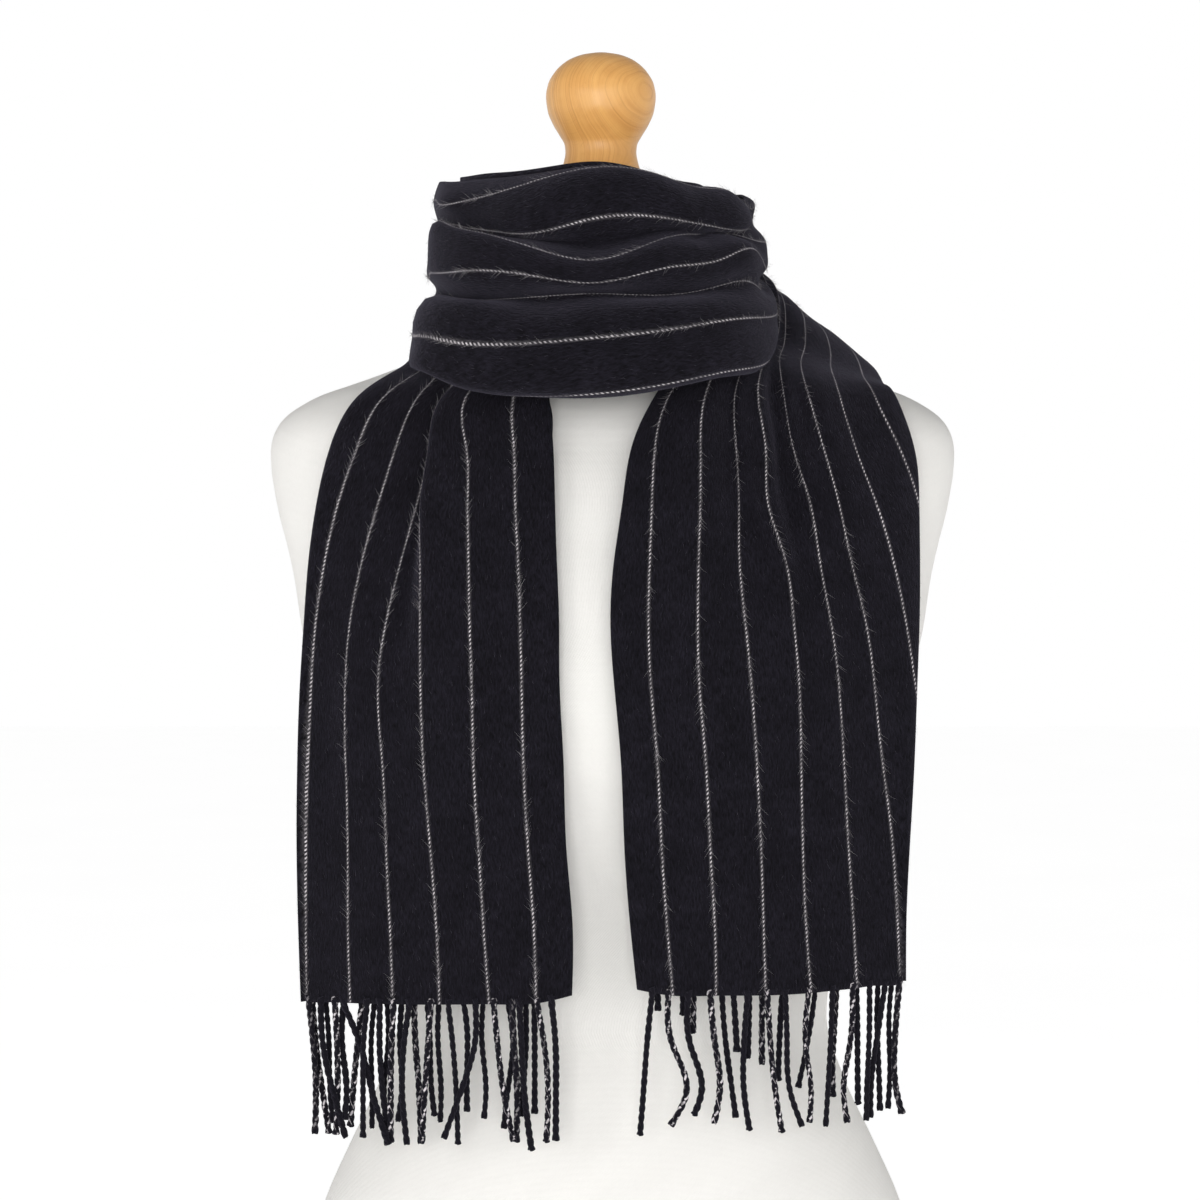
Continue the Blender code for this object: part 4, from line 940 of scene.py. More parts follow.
# %% A mesh from the grid
def cloth_object(name, grid, across, along, material):
    """A sheet of quads over a grid of points in millimetres, with its flat place as a UV map."""
    rows, cols = grid.shape[:2]
    i, j = np.meshgrid(np.arange(rows - 1), np.arange(cols - 1), indexing="ij")
    first = (i * cols + j).reshape(-1)
    faces = np.stack([first, first + cols, first + cols + 1, first + 1], axis=1)
    mesh = bpy.data.meshes.new(name)
    mesh.from_pydata((grid.reshape(-1, 3) * MM).tolist(), [], faces.tolist())
    flat = np.stack([across.reshape(-1), along.reshape(-1)], axis=1) * MM
    layer = mesh.uv_layers.new(name="cloth")
    layer.data.foreach_set("uv", flat[faces.reshape(-1)].reshape(-1))
    mesh.materials.append(material)
    mesh.shade_smooth()
    obj = bpy.data.objects.new(name, mesh)
    bpy.context.collection.objects.link(obj)
    return obj


scarf = cloth_object("scarf", grid, across, along, CASHMERE)
thick = scarf.modifiers.new("thickness", "SOLIDIFY")
thick.thickness = CLOTH_THICK * MM
thick.offset = 0
thick.use_even_offset = True
print("quads in the scarf:", len(scarf.data.polygons))

# %% [markdown]
# ## The fringe
# Warp ends are twisted into cords of two plies, each as thick as three millimetres, and each hangs
# its own way. The cords are drawn as lines from a short table, and a Geometry Nodes tree turns
# every line into two tubes that wind round it, with a flare at the root and at the blunt tip.

# %% Where each cord hangs
# In pixels of the upright picture: the cord at its root, at one and two thirds of its length, and at
# its tip. flecked: how much light thread is in it. layer: 0 for the face, 1 for the layer behind.
THIRDS = (1047, 1090)
SHORT_TIP = 1112          # a tip above this is a short cord: its thirds are its own
LEFT_CORDS = table(
    "root one two tip tip_y flecked layer",
    (308, 313.5, 316, 315, 1133, 0.3, 0), (312, 316, 322, 329, 1133, 1, 1),
    (321, 323, 333, 346, 1136, 0, 0), (325, 329, 330, 333, 1122, 0, 1),
    (334.5, 337, 337.5, 336, 1134, 1, 0), (345, 342, 347, 345, 1118, 0, 1),
    (340, 360, 372, 389, 1142, 0, 0), (363, 357.5, 353, 350, 1127, 1, 1),
    (368, 363.5, 363, 363, 1137, 0, 0), (376, 371, 372, 372, 1128, 0, 1),
    (380, 379.5, 382, 388, 1138, 0, 0), (386, 388, 384, 386, 1120, 0, 1),
    (394, 391.5, 390.5, 390, 1143, 1, 0), (403, 400, 402, 398, 1121, 0, 1),
    (410.5, 404, 402, 407, 1144, 0, 0), (414, 415.5, 419, 421, 1143, 0.5, 1),
    (431.6, 428, 425, 422, 1142, 1, 0), (426, 430, 431.6, 434.7, 1115, 0, 1),
    (440, 438, 441, 440, 1122, 0, 1), (447.4, 452.6, 456, 458, 1144, 0, 0),
    (460, 467, 467, 467, 1111, 0, 1), (475, 475, 462, 444, 1138, 0, 0),
    (485, 482, 486, 484, 1118, 0, 1), (493, 497.5, 503, 513.7, 1140, 1, 0),
    (503, 513, 508, 504, 1128, 0, 1), (512, 514, 517, 516, 1142, 0.3, 0),
    (519, 521.5, 524, 531.6, 1150, 0, 0), (525, 526, 523, 521, 1116, 0, 1),
    (533.7, 534.7, 534.7, 534.7, 1113, 0, 1), (536, 544, 548, 546.3, 1142, 1, 0),
    (550.5, 555.5, 556, 555.8, 1140, 0, 0),
)
RIGHT_CORDS = table(
    "root one two tip tip_y flecked layer",
    (653, 647, 643.7, 640, 1135, 0, 0), (669, 672, 687, 671, 1125, 1, 0),
    (689, 690, 702, 694, 1115, 0, 0), (710, 715, 720, 714, 1123, 1, 0),
    (720.5, 726, 732, 735.7, 1117, 0, 1), (748, 744, 743.7, 749.6, 1130, 0, 0),
    (767, 770.5, 775, 782, 1132, 1, 0), (785, 787, 789.5, 802, 1126, 0, 0),
    (809.5, 805.5, 811, 809.5, 1122, 1, 0), (832.6, 830.5, 828, 825.7, 1126, 0, 0),
    (852.6, 850, 843.5, 847.4, 1122, 1, 0), (869.5, 869, 867, 866.3, 1120, 0, 0),
    (886, 876, 870.8, 870.5, 1117, 0, 0), (900, 894.5, 896, 902, 1113, 0.3, 0),
    (654, 655, 657, 658, 1010, 0, 1), (683, 683, 683, 682.6, 1015, 0, 1),
    (697, 695, 694, 693, 1033, 0.6, 1), (728, 730, 734, 737, 1051, 0, 1),
    (752, 750, 749, 748, 1058, 0, 1), (766, 763, 762, 762, 1064, 0.6, 1),
    (786, 783, 780, 778, 1080, 0, 1), (819, 815, 808, 798.3, 1087, 0, 1),
    (838, 836, 833, 832.6, 1096, 0.6, 1), (855, 857, 857.5, 858, 1104, 0, 1),
    (879, 877, 878.5, 880, 1110, 0, 1), (893, 889, 890, 888, 1108, 0, 1),
)
CORD_APART = 3.7          # the least distance between two cords, centre to centre
CORD_STEPS = 15
HEM_TUCK = 3.0            # how far a cord starts inside the cloth


def in_picture(px, py):
    """Across and up in the picture plane, in millimetres, from pixels."""
    return (px - 600) * PIXEL + CAMERA[0], CAMERA[2] + (600 - py) * PIXEL


def hem_at(row, columns, px):
    """Depth and height of the hem where it is seen at this pixel."""
    hem = grid[row, columns]
    reach = (PICTURE_Y - CAMERA[1]) / (hem[:, 1] - CAMERA[1])
    seen = CAMERA[0] + (hem[:, 0] - CAMERA[0]) * reach
    order = np.argsort(seen)
    wanted = in_picture(px, 0)[0]
    return [float(np.interp(wanted, seen[order], hem[order, axis])) for axis in (1, 2)]


def cord_lines(cords, row):
    """Every cord of one tail as a row of points, kept apart from its neighbours."""
    lines, layers = [], []
    stops = np.linspace(0, 1, CORD_STEPS)
    for k in range(len(cords["root"])):
        behind = cords["layer"][k] > 0
        columns = slice(FACE + 10, None) if behind else slice(0, FACE)
        y, z = hem_at(row, columns, cords["root"][k])
        y += 1.5 if behind else 0
        root_py = 600 - ((z - CAMERA[2]) * (PICTURE_Y - CAMERA[1]) / (y - CAMERA[1])) / PIXEL
        tip_y = cords["tip_y"][k]
        down = [0, 1 / 3, 2 / 3, 1]
        if tip_y > SHORT_TIP:
            down[1:3] = [(level - root_py) / (tip_y - root_py) for level in THIRDS]
        xs = np.array([cords[name][k] for name in ("root", "one", "two", "tip")])[:, None]
        px = spline(np.array(down), xs, stops)[:, 0]
        py = root_py - HEM_TUCK / PIXEL + (tip_y - root_py + HEM_TUCK / PIXEL) * stops
        px[0] = px[1] + (px[0] - px[1]) * 0.3
        lines.append([along_sight(*in_picture(a, b), y) for a, b in zip(px, py)])
        layers.append(behind)
    lines = np.array(lines)
    order = np.where(layers, 1.0, -1.0) + 0.35 * np.sin(np.arange(len(lines)) * 2.1)
    free = np.clip(stops * 3, 0, 1)[None, :]
    for _ in range(60):
        gap_x = lines[:, None, :, 0] - lines[None, :, :, 0]
        gap_y = lines[:, None, :, 1] - lines[None, :, :, 1]
        near = np.abs(lines[:, None, :, 2] - lines[None, :, :, 2]) < 8
        wanted = np.sqrt(np.maximum(CORD_APART ** 2 - gap_x ** 2, 0)) * near
        way = np.sign(order[:, None] - order[None, :])[..., None]
        push = np.maximum(wanted - gap_y * way, 0) * way * (wanted > 0)
        lines[:, :, 1] += np.clip(push.sum(axis=1) * 0.2, -0.6, 0.6) * free
        lines[:, 1:-1, 1] = (lines[:, :-2, 1] + 2 * lines[:, 1:-1, 1] + lines[:, 2:, 1]) / 4
    return lines


def line_mesh(name, lines, flecked, seed):
    """Loose edges along the cords, with each cord's own numbers stored on its points."""
    count = lines.shape[1]
    edges = [(k * count + i, k * count + i + 1) for k in range(len(lines)) for i in range(count - 1)]
    mesh = bpy.data.meshes.new(name)
    mesh.from_pydata((lines.reshape(-1, 3) * MM).tolist(), edges, [])
    chance = random.Random(seed)
    for label, values in (("flecked", flecked), ("turn", [chance.uniform(0, 6.28) for _ in lines]),
                          ("fullness", [chance.uniform(0.9, 1.08) for _ in lines])):
        data = mesh.attributes.new(label, "FLOAT", "POINT").data
        data.foreach_set("value", np.repeat(values, count).astype(np.float32))
    obj = bpy.data.objects.new(name, mesh)
    bpy.context.collection.objects.link(obj)
    return obj


left_lines = cord_lines(LEFT_CORDS, 0)
right_lines = cord_lines(RIGHT_CORDS, -1)
print("cords on the left and right:", len(left_lines), len(right_lines))

# %% [markdown]
# ## A tree that twists the cords
# The tree has named inputs for its sizes. Each line becomes a curve and is sampled evenly. Then it
# is copied twice, and every copy is moved sideways along a turning direction, so that the two
# copies wind round each other. Curve to Mesh gives them thickness from a scale along each cord.

# %% Helpers for Geometry Nodes
def new_tree(name, sizes):
    """A Geometry Nodes tree with a Geometry input, named sizes, a finish and a Geometry output."""
    tree = bpy.data.node_groups.new(name, "GeometryNodeTree")
    tree.interface.new_socket("Geometry", in_out="INPUT", socket_type="NodeSocketGeometry")
    for label in sizes:
        tree.interface.new_socket(label, in_out="INPUT", socket_type="NodeSocketFloat")
    tree.interface.new_socket("Finish", in_out="INPUT", socket_type="NodeSocketMaterial")
    tree.interface.new_socket("Geometry", in_out="OUTPUT", socket_type="NodeSocketGeometry")
    return tree, tree.nodes.new("NodeGroupInput").outputs, tree.nodes.new("NodeGroupOutput").inputs


def step(tree, kind, output=0, settings=None, **values):
    """One node; keyword names are socket names with underscores for spaces."""
    node = tree.nodes.new(kind)
    for label, value in (settings or {}).items():
        setattr(node, label, value)
    for label, value in values.items():
        put(tree, value, node.inputs[label.replace("_", " ")])
    return node.outputs[output]


def turn_way(tree, operation, a, b, output=0):
    """One Vector Math node."""
    node = tree.nodes.new("ShaderNodeVectorMath")
    node.operation = operation
    put(tree, a, node.inputs[0])
    put(tree, b, node.inputs["Scale"] if operation == "SCALE" else node.inputs[1])
    return node.outputs[output]


def attribute(tree, name):
    return step(tree, "GeometryNodeInputNamedAttribute", Name=name)


def end_tree(tree, geometry, given, out):
    """Real meshes instead of instances, and the finish on every face."""
    real = step(tree, "GeometryNodeRealizeInstances", Geometry=geometry)
    painted = step(tree, "GeometryNodeSetMaterial", Geometry=real, Material=given["Finish"])
    tree.links.new(painted, out["Geometry"])


def apply_tree(obj, tree, sizes, name):
    """Run a tree on an object, and keep the result as a plain mesh in a new object."""
    modifier = obj.modifiers.new("tree", "NODES")
    modifier.node_group = tree
    for socket in tree.interface.items_tree:
        if socket.in_out == "INPUT" and socket.name in sizes:
            modifier[socket.identifier] = sizes[socket.name]
    view = bpy.context.evaluated_depsgraph_get()
    mesh = bpy.data.meshes.new_from_object(obj.evaluated_get(view), preserve_all_data_layers=True,
                                           depsgraph=view)
    obj.modifiers.remove(modifier)
    mesh.name = name
    made = bpy.data.objects.new(name, mesh)
    bpy.context.collection.objects.link(made)
    return made


# %% The tree of the cords
CORD_SIZES = {"Ply Radius": 1.28 * MM, "Ply Offset": 0.5 * MM, "Pitch": 9.5 * MM, "Step": 1.3 * MM,
              "Flare Length": 2.4 * MM}
CORDS, given, out = new_tree("twisted cords", CORD_SIZES)
curve = step(CORDS, "GeometryNodeMeshToCurve", Mesh=given["Geometry"])
curve = step(CORDS, "GeometryNodeResampleCurve", settings={"mode": "LENGTH"}, Curve=curve, Length=given["Step"])
along_cord = step(CORDS, "GeometryNodeSplineParameter", 1)
whole_cord = step(CORDS, "GeometryNodeSplineLength")
to_tip = calc(CORDS, "SUBTRACT", whole_cord, along_cord)
root_flare = calc(CORDS, "EXPONENT", calc(CORDS, "DIVIDE", along_cord, calc(CORDS, "MULTIPLY",
                                                                          given["Flare Length"], -1.0)))
tip_flare = calc(CORDS, "EXPONENT", calc(CORDS, "DIVIDE", to_tip, calc(CORDS, "MULTIPLY",
                                                                     given["Flare Length"], -1.0)))
lumps = step(CORDS, "ShaderNodeTexNoise", Vector=step(CORDS, "GeometryNodeInputPosition"), Scale=420.0)
fullness = calc(CORDS, "MULTIPLY", attribute(CORDS, "fullness"), calc(CORDS, "MULTIPLY_ADD", lumps, 0.36, 0.82))
swell = calc(CORDS, "ADD", calc(CORDS, "MULTIPLY_ADD", root_flare, 0.35, 1.0),
             calc(CORDS, "MULTIPLY", tip_flare, 0.22))
swell = calc(CORDS, "MULTIPLY", swell, fullness)
normal = step(CORDS, "GeometryNodeInputNormal")
side = turn_way(CORDS, "CROSS_PRODUCT", normal, step(CORDS, "GeometryNodeInputTangent"))
turn = calc(CORDS, "ADD", calc(CORDS, "MULTIPLY", calc(CORDS, "DIVIDE", along_cord, given["Pitch"]),
                               2 * math.pi), attribute(CORDS, "turn"))
cord_frame = step(CORDS, "GeometryNodeJoinGeometry")
join = cord_frame.node
for phase in (0.0, math.pi):
    angle = calc(CORDS, "ADD", turn, phase)
    way = turn_way(CORDS, "ADD", turn_way(CORDS, "SCALE", normal, calc(CORDS, "COSINE", angle)),
                   turn_way(CORDS, "SCALE", side, calc(CORDS, "SINE", angle)))
    reach = calc(CORDS, "MULTIPLY", given["Ply Offset"], swell)
    kept = step(CORDS, "GeometryNodeStoreNamedAttribute", Geometry=curve, Name="run", Value=along_cord)
    moved = step(CORDS, "GeometryNodeSetPosition", Geometry=kept, Offset=turn_way(CORDS, "SCALE", way, reach))
    profile = step(CORDS, "GeometryNodeCurvePrimitiveCircle", Resolution=8, Radius=1.0)
    profile = step(CORDS, "GeometryNodeStoreNamedAttribute", Geometry=profile, Name="round",
                   Value=step(CORDS, "GeometryNodeSplineParameter"))
    radius = calc(CORDS, "MULTIPLY", given["Ply Radius"], swell)
    ply = step(CORDS, "GeometryNodeCurveToMesh", Curve=moved, Profile_Curve=profile, Scale=radius,
               Fill_Caps=True)
    smooth_ply = step(CORDS, "GeometryNodeSetShadeSmooth", Geometry=ply)
    CORDS.links.new(smooth_ply, join.inputs[0])
end_tree(CORDS, join.outputs[0], given, out)

# %% The finish of the cords
YARN, tree, shader = new_finish("charcoal yarn", 0.92)


def read(tree, name):
    node = tree.nodes.new("ShaderNodeAttribute")
    node.attribute_name = name
    return node.outputs["Fac"]


run_mm = calc(tree, "MULTIPLY", read(tree, "run"), 1000.0)
round_share = read(tree, "round")
strands = use_group(tree, FIBRES, Across=calc(tree, "MULTIPLY", round_share, 6.0), Along=run_mm,
                    Width=0.5, Length=3.0)
spiral = calc(tree, "FRACT", calc(tree, "SUBTRACT", round_share, calc(tree, "DIVIDE", run_mm, 5.5)))
thread = ramp(tree, calc(tree, "ABSOLUTE", calc(tree, "SUBTRACT", spiral, 0.5)), 0.06, 0.16, 1.0, 0.0)
patchy = noise(tree, place_at(tree, calc(tree, "DIVIDE", run_mm, 2.6), round_share), detail=2.0)
thread = calc(tree, "MULTIPLY", thread, ramp(tree, patchy, 0.38, 0.58))
thread = calc(tree, "MULTIPLY", thread, read(tree, "flecked"))
ground = blend_colour(tree, 1.0, CHARCOAL, grey(tree, calc(tree, "MULTIPLY_ADD", strands["Tone"], 1.0, 0.55)),
                      "MULTIPLY")
tree.links.new(blend_colour(tree, thread, ground, CHALK), shader.inputs["Base Color"])
bumped(tree, shader, strands["Height"], 0.0006)
shader.inputs["Specular IOR Level"].default_value = 0.08
shader.inputs["Sheen Weight"].default_value = 0.09
shader.inputs["Sheen Tint"].default_value = (0.62, 0.58, 0.78, 1)

fringes = {}
for tail, lines, cords in (("left", left_lines, LEFT_CORDS), ("right", right_lines, RIGHT_CORDS)):
    for layer, place in ((0, "front"), (1, "back")):
        chosen = cords["layer"] == layer
        name = f"{tail}_cords_{place}"
        drawn = line_mesh(name + "_lines", lines[chosen], cords["flecked"][chosen], seed=len(fringes))
        fringes[f"{tail}_fringe_{place}"] = apply_tree(drawn, CORDS, {**CORD_SIZES, "Finish": YARN}, name)
        bpy.data.objects.remove(drawn)
        print(name, "has", len(fringes[f"{tail}_fringe_{place}"].data.polygons), "faces")
# %% [markdown]
# ## The nap
# Brushing pulls fine hairs out of the wool. Most lie along the warp, and at a fold they stand off the
# cloth and soften its outline. Light hairs fan out from the chalk stripes. A Geometry Nodes tree
# scatters curved needles over the face; the cloth's own mesh tells it which way the warp runs.

# %% What the tree reads from the cloth
def store(mesh, name, kind, key, values):
    data = mesh.attributes.new(name, kind, "POINT").data
    data.foreach_set(key, np.ascontiguousarray(values, dtype=np.float32).reshape(-1))


def stripe_ribbons(edges):
    """One narrow ribbon over each stripe; edges is rows x stripes x 2 sides x 3."""
    rows, count = edges.shape[:2]
    i, k = np.meshgrid(np.arange(rows - 1), np.arange(count), indexing="ij")
    first = ((i * count + k) * 2).reshape(-1)
    faces = np.stack([first, first + 2 * count, first + 2 * count + 1, first + 1], axis=1)
    mesh = bpy.data.meshes.new("stripe_ribbons")
    mesh.from_pydata((edges.reshape(-1, 3) * MM).tolist(), [], faces.tolist())
    mesh.materials.append(CASHMERE)
    obj = bpy.data.objects.new("stripe_ribbons", mesh)
    bpy.context.collection.objects.link(obj)
    return obj


def nap_base():
    """A copy of the cloth's face with its warp and weft ways and how hairy each point is."""
    warp = np.gradient(grid, axis=0)
    warp /= np.linalg.norm(warp, axis=2, keepdims=True)
    out_way = outward(grid)
    weft = np.cross(out_way, warp)
    obj = cloth_object("nap_base", grid + out_way * (CLOTH_THICK / 2 - 0.1), across, along, CASHMERE)
    shown = (np.arange(grid.shape[1]) <= FACE + 8)[None, :] * np.ones(across.shape)
    nearest = np.abs((across - FIRST_STRIPE + STRIPE_PITCH / 2) % STRIPE_PITCH - STRIPE_PITCH / 2)
    bend = np.linalg.norm(np.gradient(out_way, axis=0), axis=2) + np.linalg.norm(
        np.gradient(out_way, axis=1), axis=2)
    fuzzy = shown * np.clip(0.55 + 2.2 * bend, 0, 2.2)
    lines = [k for k in range(FACE + 8) if np.mean(nearest[:, k] < 1.0) > 0.5]
    edges = np.repeat(grid[:, lines, None], 2, axis=2) + out_way[:, lines, None] * (CLOTH_THICK / 2)
    edges += weft[:, lines, None] * np.array([-0.6, 0.6])[:, None]
    threads = stripe_ribbons(edges)
    for name, values in (("warp_way", warp), ("weft_way", weft), ("out_way", out_way)):
        store(obj.data, name, "FLOAT_VECTOR", "vector", values)
        store(threads.data, name, "FLOAT_VECTOR", "vector", np.repeat(values[:, lines, None], 2, axis=2))
    store(obj.data, "fuzzy", "FLOAT", "value", fuzzy)
    turn = along[:, lines] + 40 * np.arange(len(lines))
    tufts = np.clip(0.5 + 0.9 * np.sin(turn / 9.1) * np.sin(turn / 21.7 + 1.0), 0.12, 1.3)
    store(threads.data, "chalky", "FLOAT", "value", np.repeat(tufts[:, :, None], 2, axis=2))
    print("stripes that grow hairs:", len(lines))
    return obj, threads


NAP_SIZES = {"Hairs": 0.0, "Hair Length": 3.2 * MM, "Hair Radius": 0.05 * MM, "Fan": 0.5, "Lift": 0.3,
             "Hair Tone": 0.0}


def nap_tree(name, density_name, seed):
    """Curved needles over a surface, as dense as the named attribute says."""
    tree, given, out = new_tree(name, NAP_SIZES)
    density = calc(tree, "MULTIPLY", given["Hairs"], attribute(tree, density_name))
    points = step(tree, "GeometryNodeDistributePointsOnFaces", Mesh=given["Geometry"], Density=density,
                  Seed=seed)
    chance = step(tree, "FunctionNodeRandomValue", settings={"data_type": "FLOAT_VECTOR"},
                  Min=(-1.0, -1.0, -1.0), Max=(1.0, 1.0, 1.0), Seed=seed + 1)
    first, second, third = split(tree, chance)
    ways = []
    for label, amount in (("warp_way", 1.0), ("weft_way", calc(tree, "MULTIPLY", first, given["Fan"])),
                          ("out_way", calc(tree, "MULTIPLY", calc(tree, "ABSOLUTE", second), given["Lift"]))):
        way = step(tree, "GeometryNodeInputNamedAttribute", settings={"data_type": "FLOAT_VECTOR"}, Name=label)
        ways.append(turn_way(tree, "SCALE", way, amount))
    aim = turn_way(tree, "ADD", turn_way(tree, "ADD", ways[0], ways[1]), ways[2])
    turned_to = step(tree, "FunctionNodeAlignRotationToVector", settings={"axis": "Z"}, Vector=aim)
    normal = step(tree, "GeometryNodeInputNamedAttribute", settings={"data_type": "FLOAT_VECTOR"},
                  Name="out_way")
    turned_to = step(tree, "FunctionNodeAlignRotationToVector", settings={"axis": "X", "pivot_axis": "Z"},
                     Rotation=turned_to, Vector=normal)
    kept = step(tree, "GeometryNodeStoreNamedAttribute", Geometry=points, Name="tone",
                Value=calc(tree, "MULTIPLY_ADD", third, 0.5, 0.5))
    arc = step(tree, "GeometryNodeCurveQuadraticBezier", Resolution=3, Start=(0.0, 0.0, 0.0),
               Middle=(0.06, 0.0, 0.5), End=(0.3, 0.0, 1.0))
    thin = calc(tree, "SUBTRACT", 1.1, step(tree, "GeometryNodeSplineParameter"))
    profile = step(tree, "GeometryNodeCurvePrimitiveCircle", Resolution=3, Radius=1.0)
    slender = calc(tree, "DIVIDE", given["Hair Radius"], given["Hair Length"])
    hair = step(tree, "GeometryNodeCurveToMesh", Curve=arc, Profile_Curve=profile,
                Scale=calc(tree, "MULTIPLY", thin, slender))
    size = calc(tree, "MULTIPLY", given["Hair Length"], calc(tree, "MULTIPLY_ADD", third, 0.4, 0.8))
    hairs = step(tree, "GeometryNodeInstanceOnPoints", Points=kept, Instance=hair, Rotation=turned_to,
                 Scale=place_at(tree, size, size, size))
    end_tree(tree, hairs, given, out)
    return tree


# %% The finish of the hairs
def hair_finish(name, dark, light):
    material, tree, shader = new_finish(name, 0.8)
    tone = ramp(tree, read(tree, "tone"), 0.2, 1.0)
    tree.links.new(blend_colour(tree, tone, dark, light), shader.inputs["Base Color"])
    shader.inputs["Specular IOR Level"].default_value = 0.1
    return material


base, threads = nap_base()
nap = apply_tree(base, nap_tree("warp nap", "fuzzy", 11),
                 {**NAP_SIZES, "Hairs": 47000.0, "Hair Length": 3.0 * MM, "Hair Radius": 0.05 * MM,
                  "Finish": hair_finish("dark hair", (0.006, 0.005, 0.008, 1), (0.08, 0.073, 0.09, 1))}, "nap")
stray = apply_tree(threads, nap_tree("stray hairs", "chalky", 23),
                   {**NAP_SIZES, "Hairs": 1300000.0, "Hair Length": 5.2 * MM, "Hair Radius": 0.058 * MM, "Fan": 1.1,
                    "Lift": 0.3,
                    "Finish": hair_finish("chalk hair", (0.06, 0.056, 0.062, 1), (0.38, 0.36, 0.37, 1))},
                   "stray_hairs")
bpy.data.objects.remove(base)
bpy.data.objects.remove(threads)
for piece in (nap, stray):
    print(piece.name, "triangles:", sum(len(face.vertices) - 2 for face in piece.data.polygons))

# %% [markdown]
# ## The dress form's jersey
# A cover of off-white cotton jersey is stretched over the foam. Its stitches are about half a
# millimetre wide, so they show as a faint grid in bump and tone. The body is a loft of the
# table's rounds, finer than the solid, with a UV map that runs round and up in metres.

# %% Jersey
STITCH_WIDE = 0.85
STITCH_TALL = 0.62
JERSEY, tree, shader = new_finish("off-white jersey", 0.85)
across_mm, along_mm = from_map(tree, "cover")
stitch_u = calc(tree, "SINE", calc(tree, "MULTIPLY", across_mm, 2 * math.pi / STITCH_WIDE))
stitch_v = calc(tree, "SINE", calc(tree, "MULTIPLY", along_mm, 2 * math.pi / STITCH_TALL))
stitch = calc(tree, "MULTIPLY", calc(tree, "ADD", stitch_u, calc(tree, "MULTIPLY", stitch_v, 0.7)), 0.5)
mottle = use_group(tree, MOTTLE, X=across_mm, Y=along_mm, Size=40.0)["Tone"]
strands = use_group(tree, FIBRES, Across=across_mm, Along=along_mm, Width=0.8, Length=2.5)
tint = calc(tree, "MULTIPLY_ADD", stitch, 0.018, ramp(tree, mottle, 0.0, 1.0, 0.985, 1.01))
tint = calc(tree, "MULTIPLY", tint, ramp(tree, strands["Tone"], 0.0, 1.0, 0.982, 1.012))
tree.links.new(blend_colour(tree, 1.0, (0.80, 0.785, 0.755, 1), grey(tree, tint), "MULTIPLY"),
               shader.inputs["Base Color"])
bumped(tree, shader, calc(tree, "MULTIPLY_ADD", strands["Height"], 0.6, stitch), 0.00012)
shader.inputs["Specular IOR Level"].default_value = 0.2
shader.inputs["Sheen Weight"].default_value = 0.08
print("nodes in the jersey:", len(tree.nodes))

# %% The form's body
FORM_SIDES = 120


def round_at(height):
    """The level round at this height, as points from the back and round to the back again."""
    lean, back, width, depth, power = form_at(height)
    turn = np.linspace(-1.5 * math.pi, 0.5 * math.pi, FORM_SIDES + 1)
    cosine, sine = np.cos(turn), np.sin(turn)
    x = lean + width * np.sign(cosine) * np.abs(cosine) ** (2 / power)
    y = back + depth * np.sign(sine) * np.abs(sine) ** (2 / power)
    return np.stack([x, y, np.full_like(x, height)], axis=1)


def even_round(height):
    """The same round with its points evenly spaced along its own line."""
    fine = round_at(height)
    reach = np.concatenate([[0], np.cumsum(np.linalg.norm(np.diff(fine, axis=0), axis=1))])
    stops = np.linspace(0, reach[-1], FORM_SIDES + 1)
    return np.stack([np.interp(stops, reach, fine[:, axis]) for axis in range(3)], axis=1), stops


def make_body():
    heights = np.concatenate([np.arange(0, 480, 8), np.arange(480, 560, 4), np.arange(560, FORM_TOP, 2),
                              [FORM_TOP]])
    rounds = [even_round(height) for height in heights]
    build = bmesh.new()
    verts = [[build.verts.new(point * MM) for point in points[:-1]] for points, _ in rounds]
    layer = build.loops.layers.uv.new("cover")
    for i in range(len(heights) - 1):
        for j in range(FORM_SIDES):
            k = (j + 1) % FORM_SIDES
            face = build.faces.new((verts[i][j], verts[i][k], verts[i + 1][k], verts[i + 1][j]))
            for loop, (row, col) in zip(face.loops, ((i, j), (i, j + 1), (i + 1, j + 1), (i + 1, j))):
                loop[layer].uv = (rounds[row][1][col] * MM, heights[row] * MM)
    for ring, height in ((verts[0], 0), (verts[-1], FORM_TOP)):
        face = build.faces.new(ring)
        for loop in face.loops:
            loop[layer].uv = loop.vert.co.xy
    bmesh.ops.recalc_face_normals(build, faces=build.faces)
    mesh = bpy.data.meshes.new("jersey_body")
    build.to_mesh(mesh)
    build.free()
    mesh.materials.append(JERSEY)
    mesh.shade_smooth()
    mesh.set_sharp_from_angle(angle=math.radians(40))
    obj = bpy.data.objects.new("jersey_body", mesh)
    bpy.context.collection.objects.link(obj)
    return obj


body = make_body()
print("faces of the body:", len(body.data.polygons))

# %% [markdown]
# ## Neck cap and finial
# Both are turned on a lathe from honey-coloured wood, sanded and varnished. A profile spun round the
# neck's own line gives the shape, as the lathe does. The grain is a stack of growth rings that
# the turning cuts through, so the lines curve by themselves, and a clear coat gives the gloss.

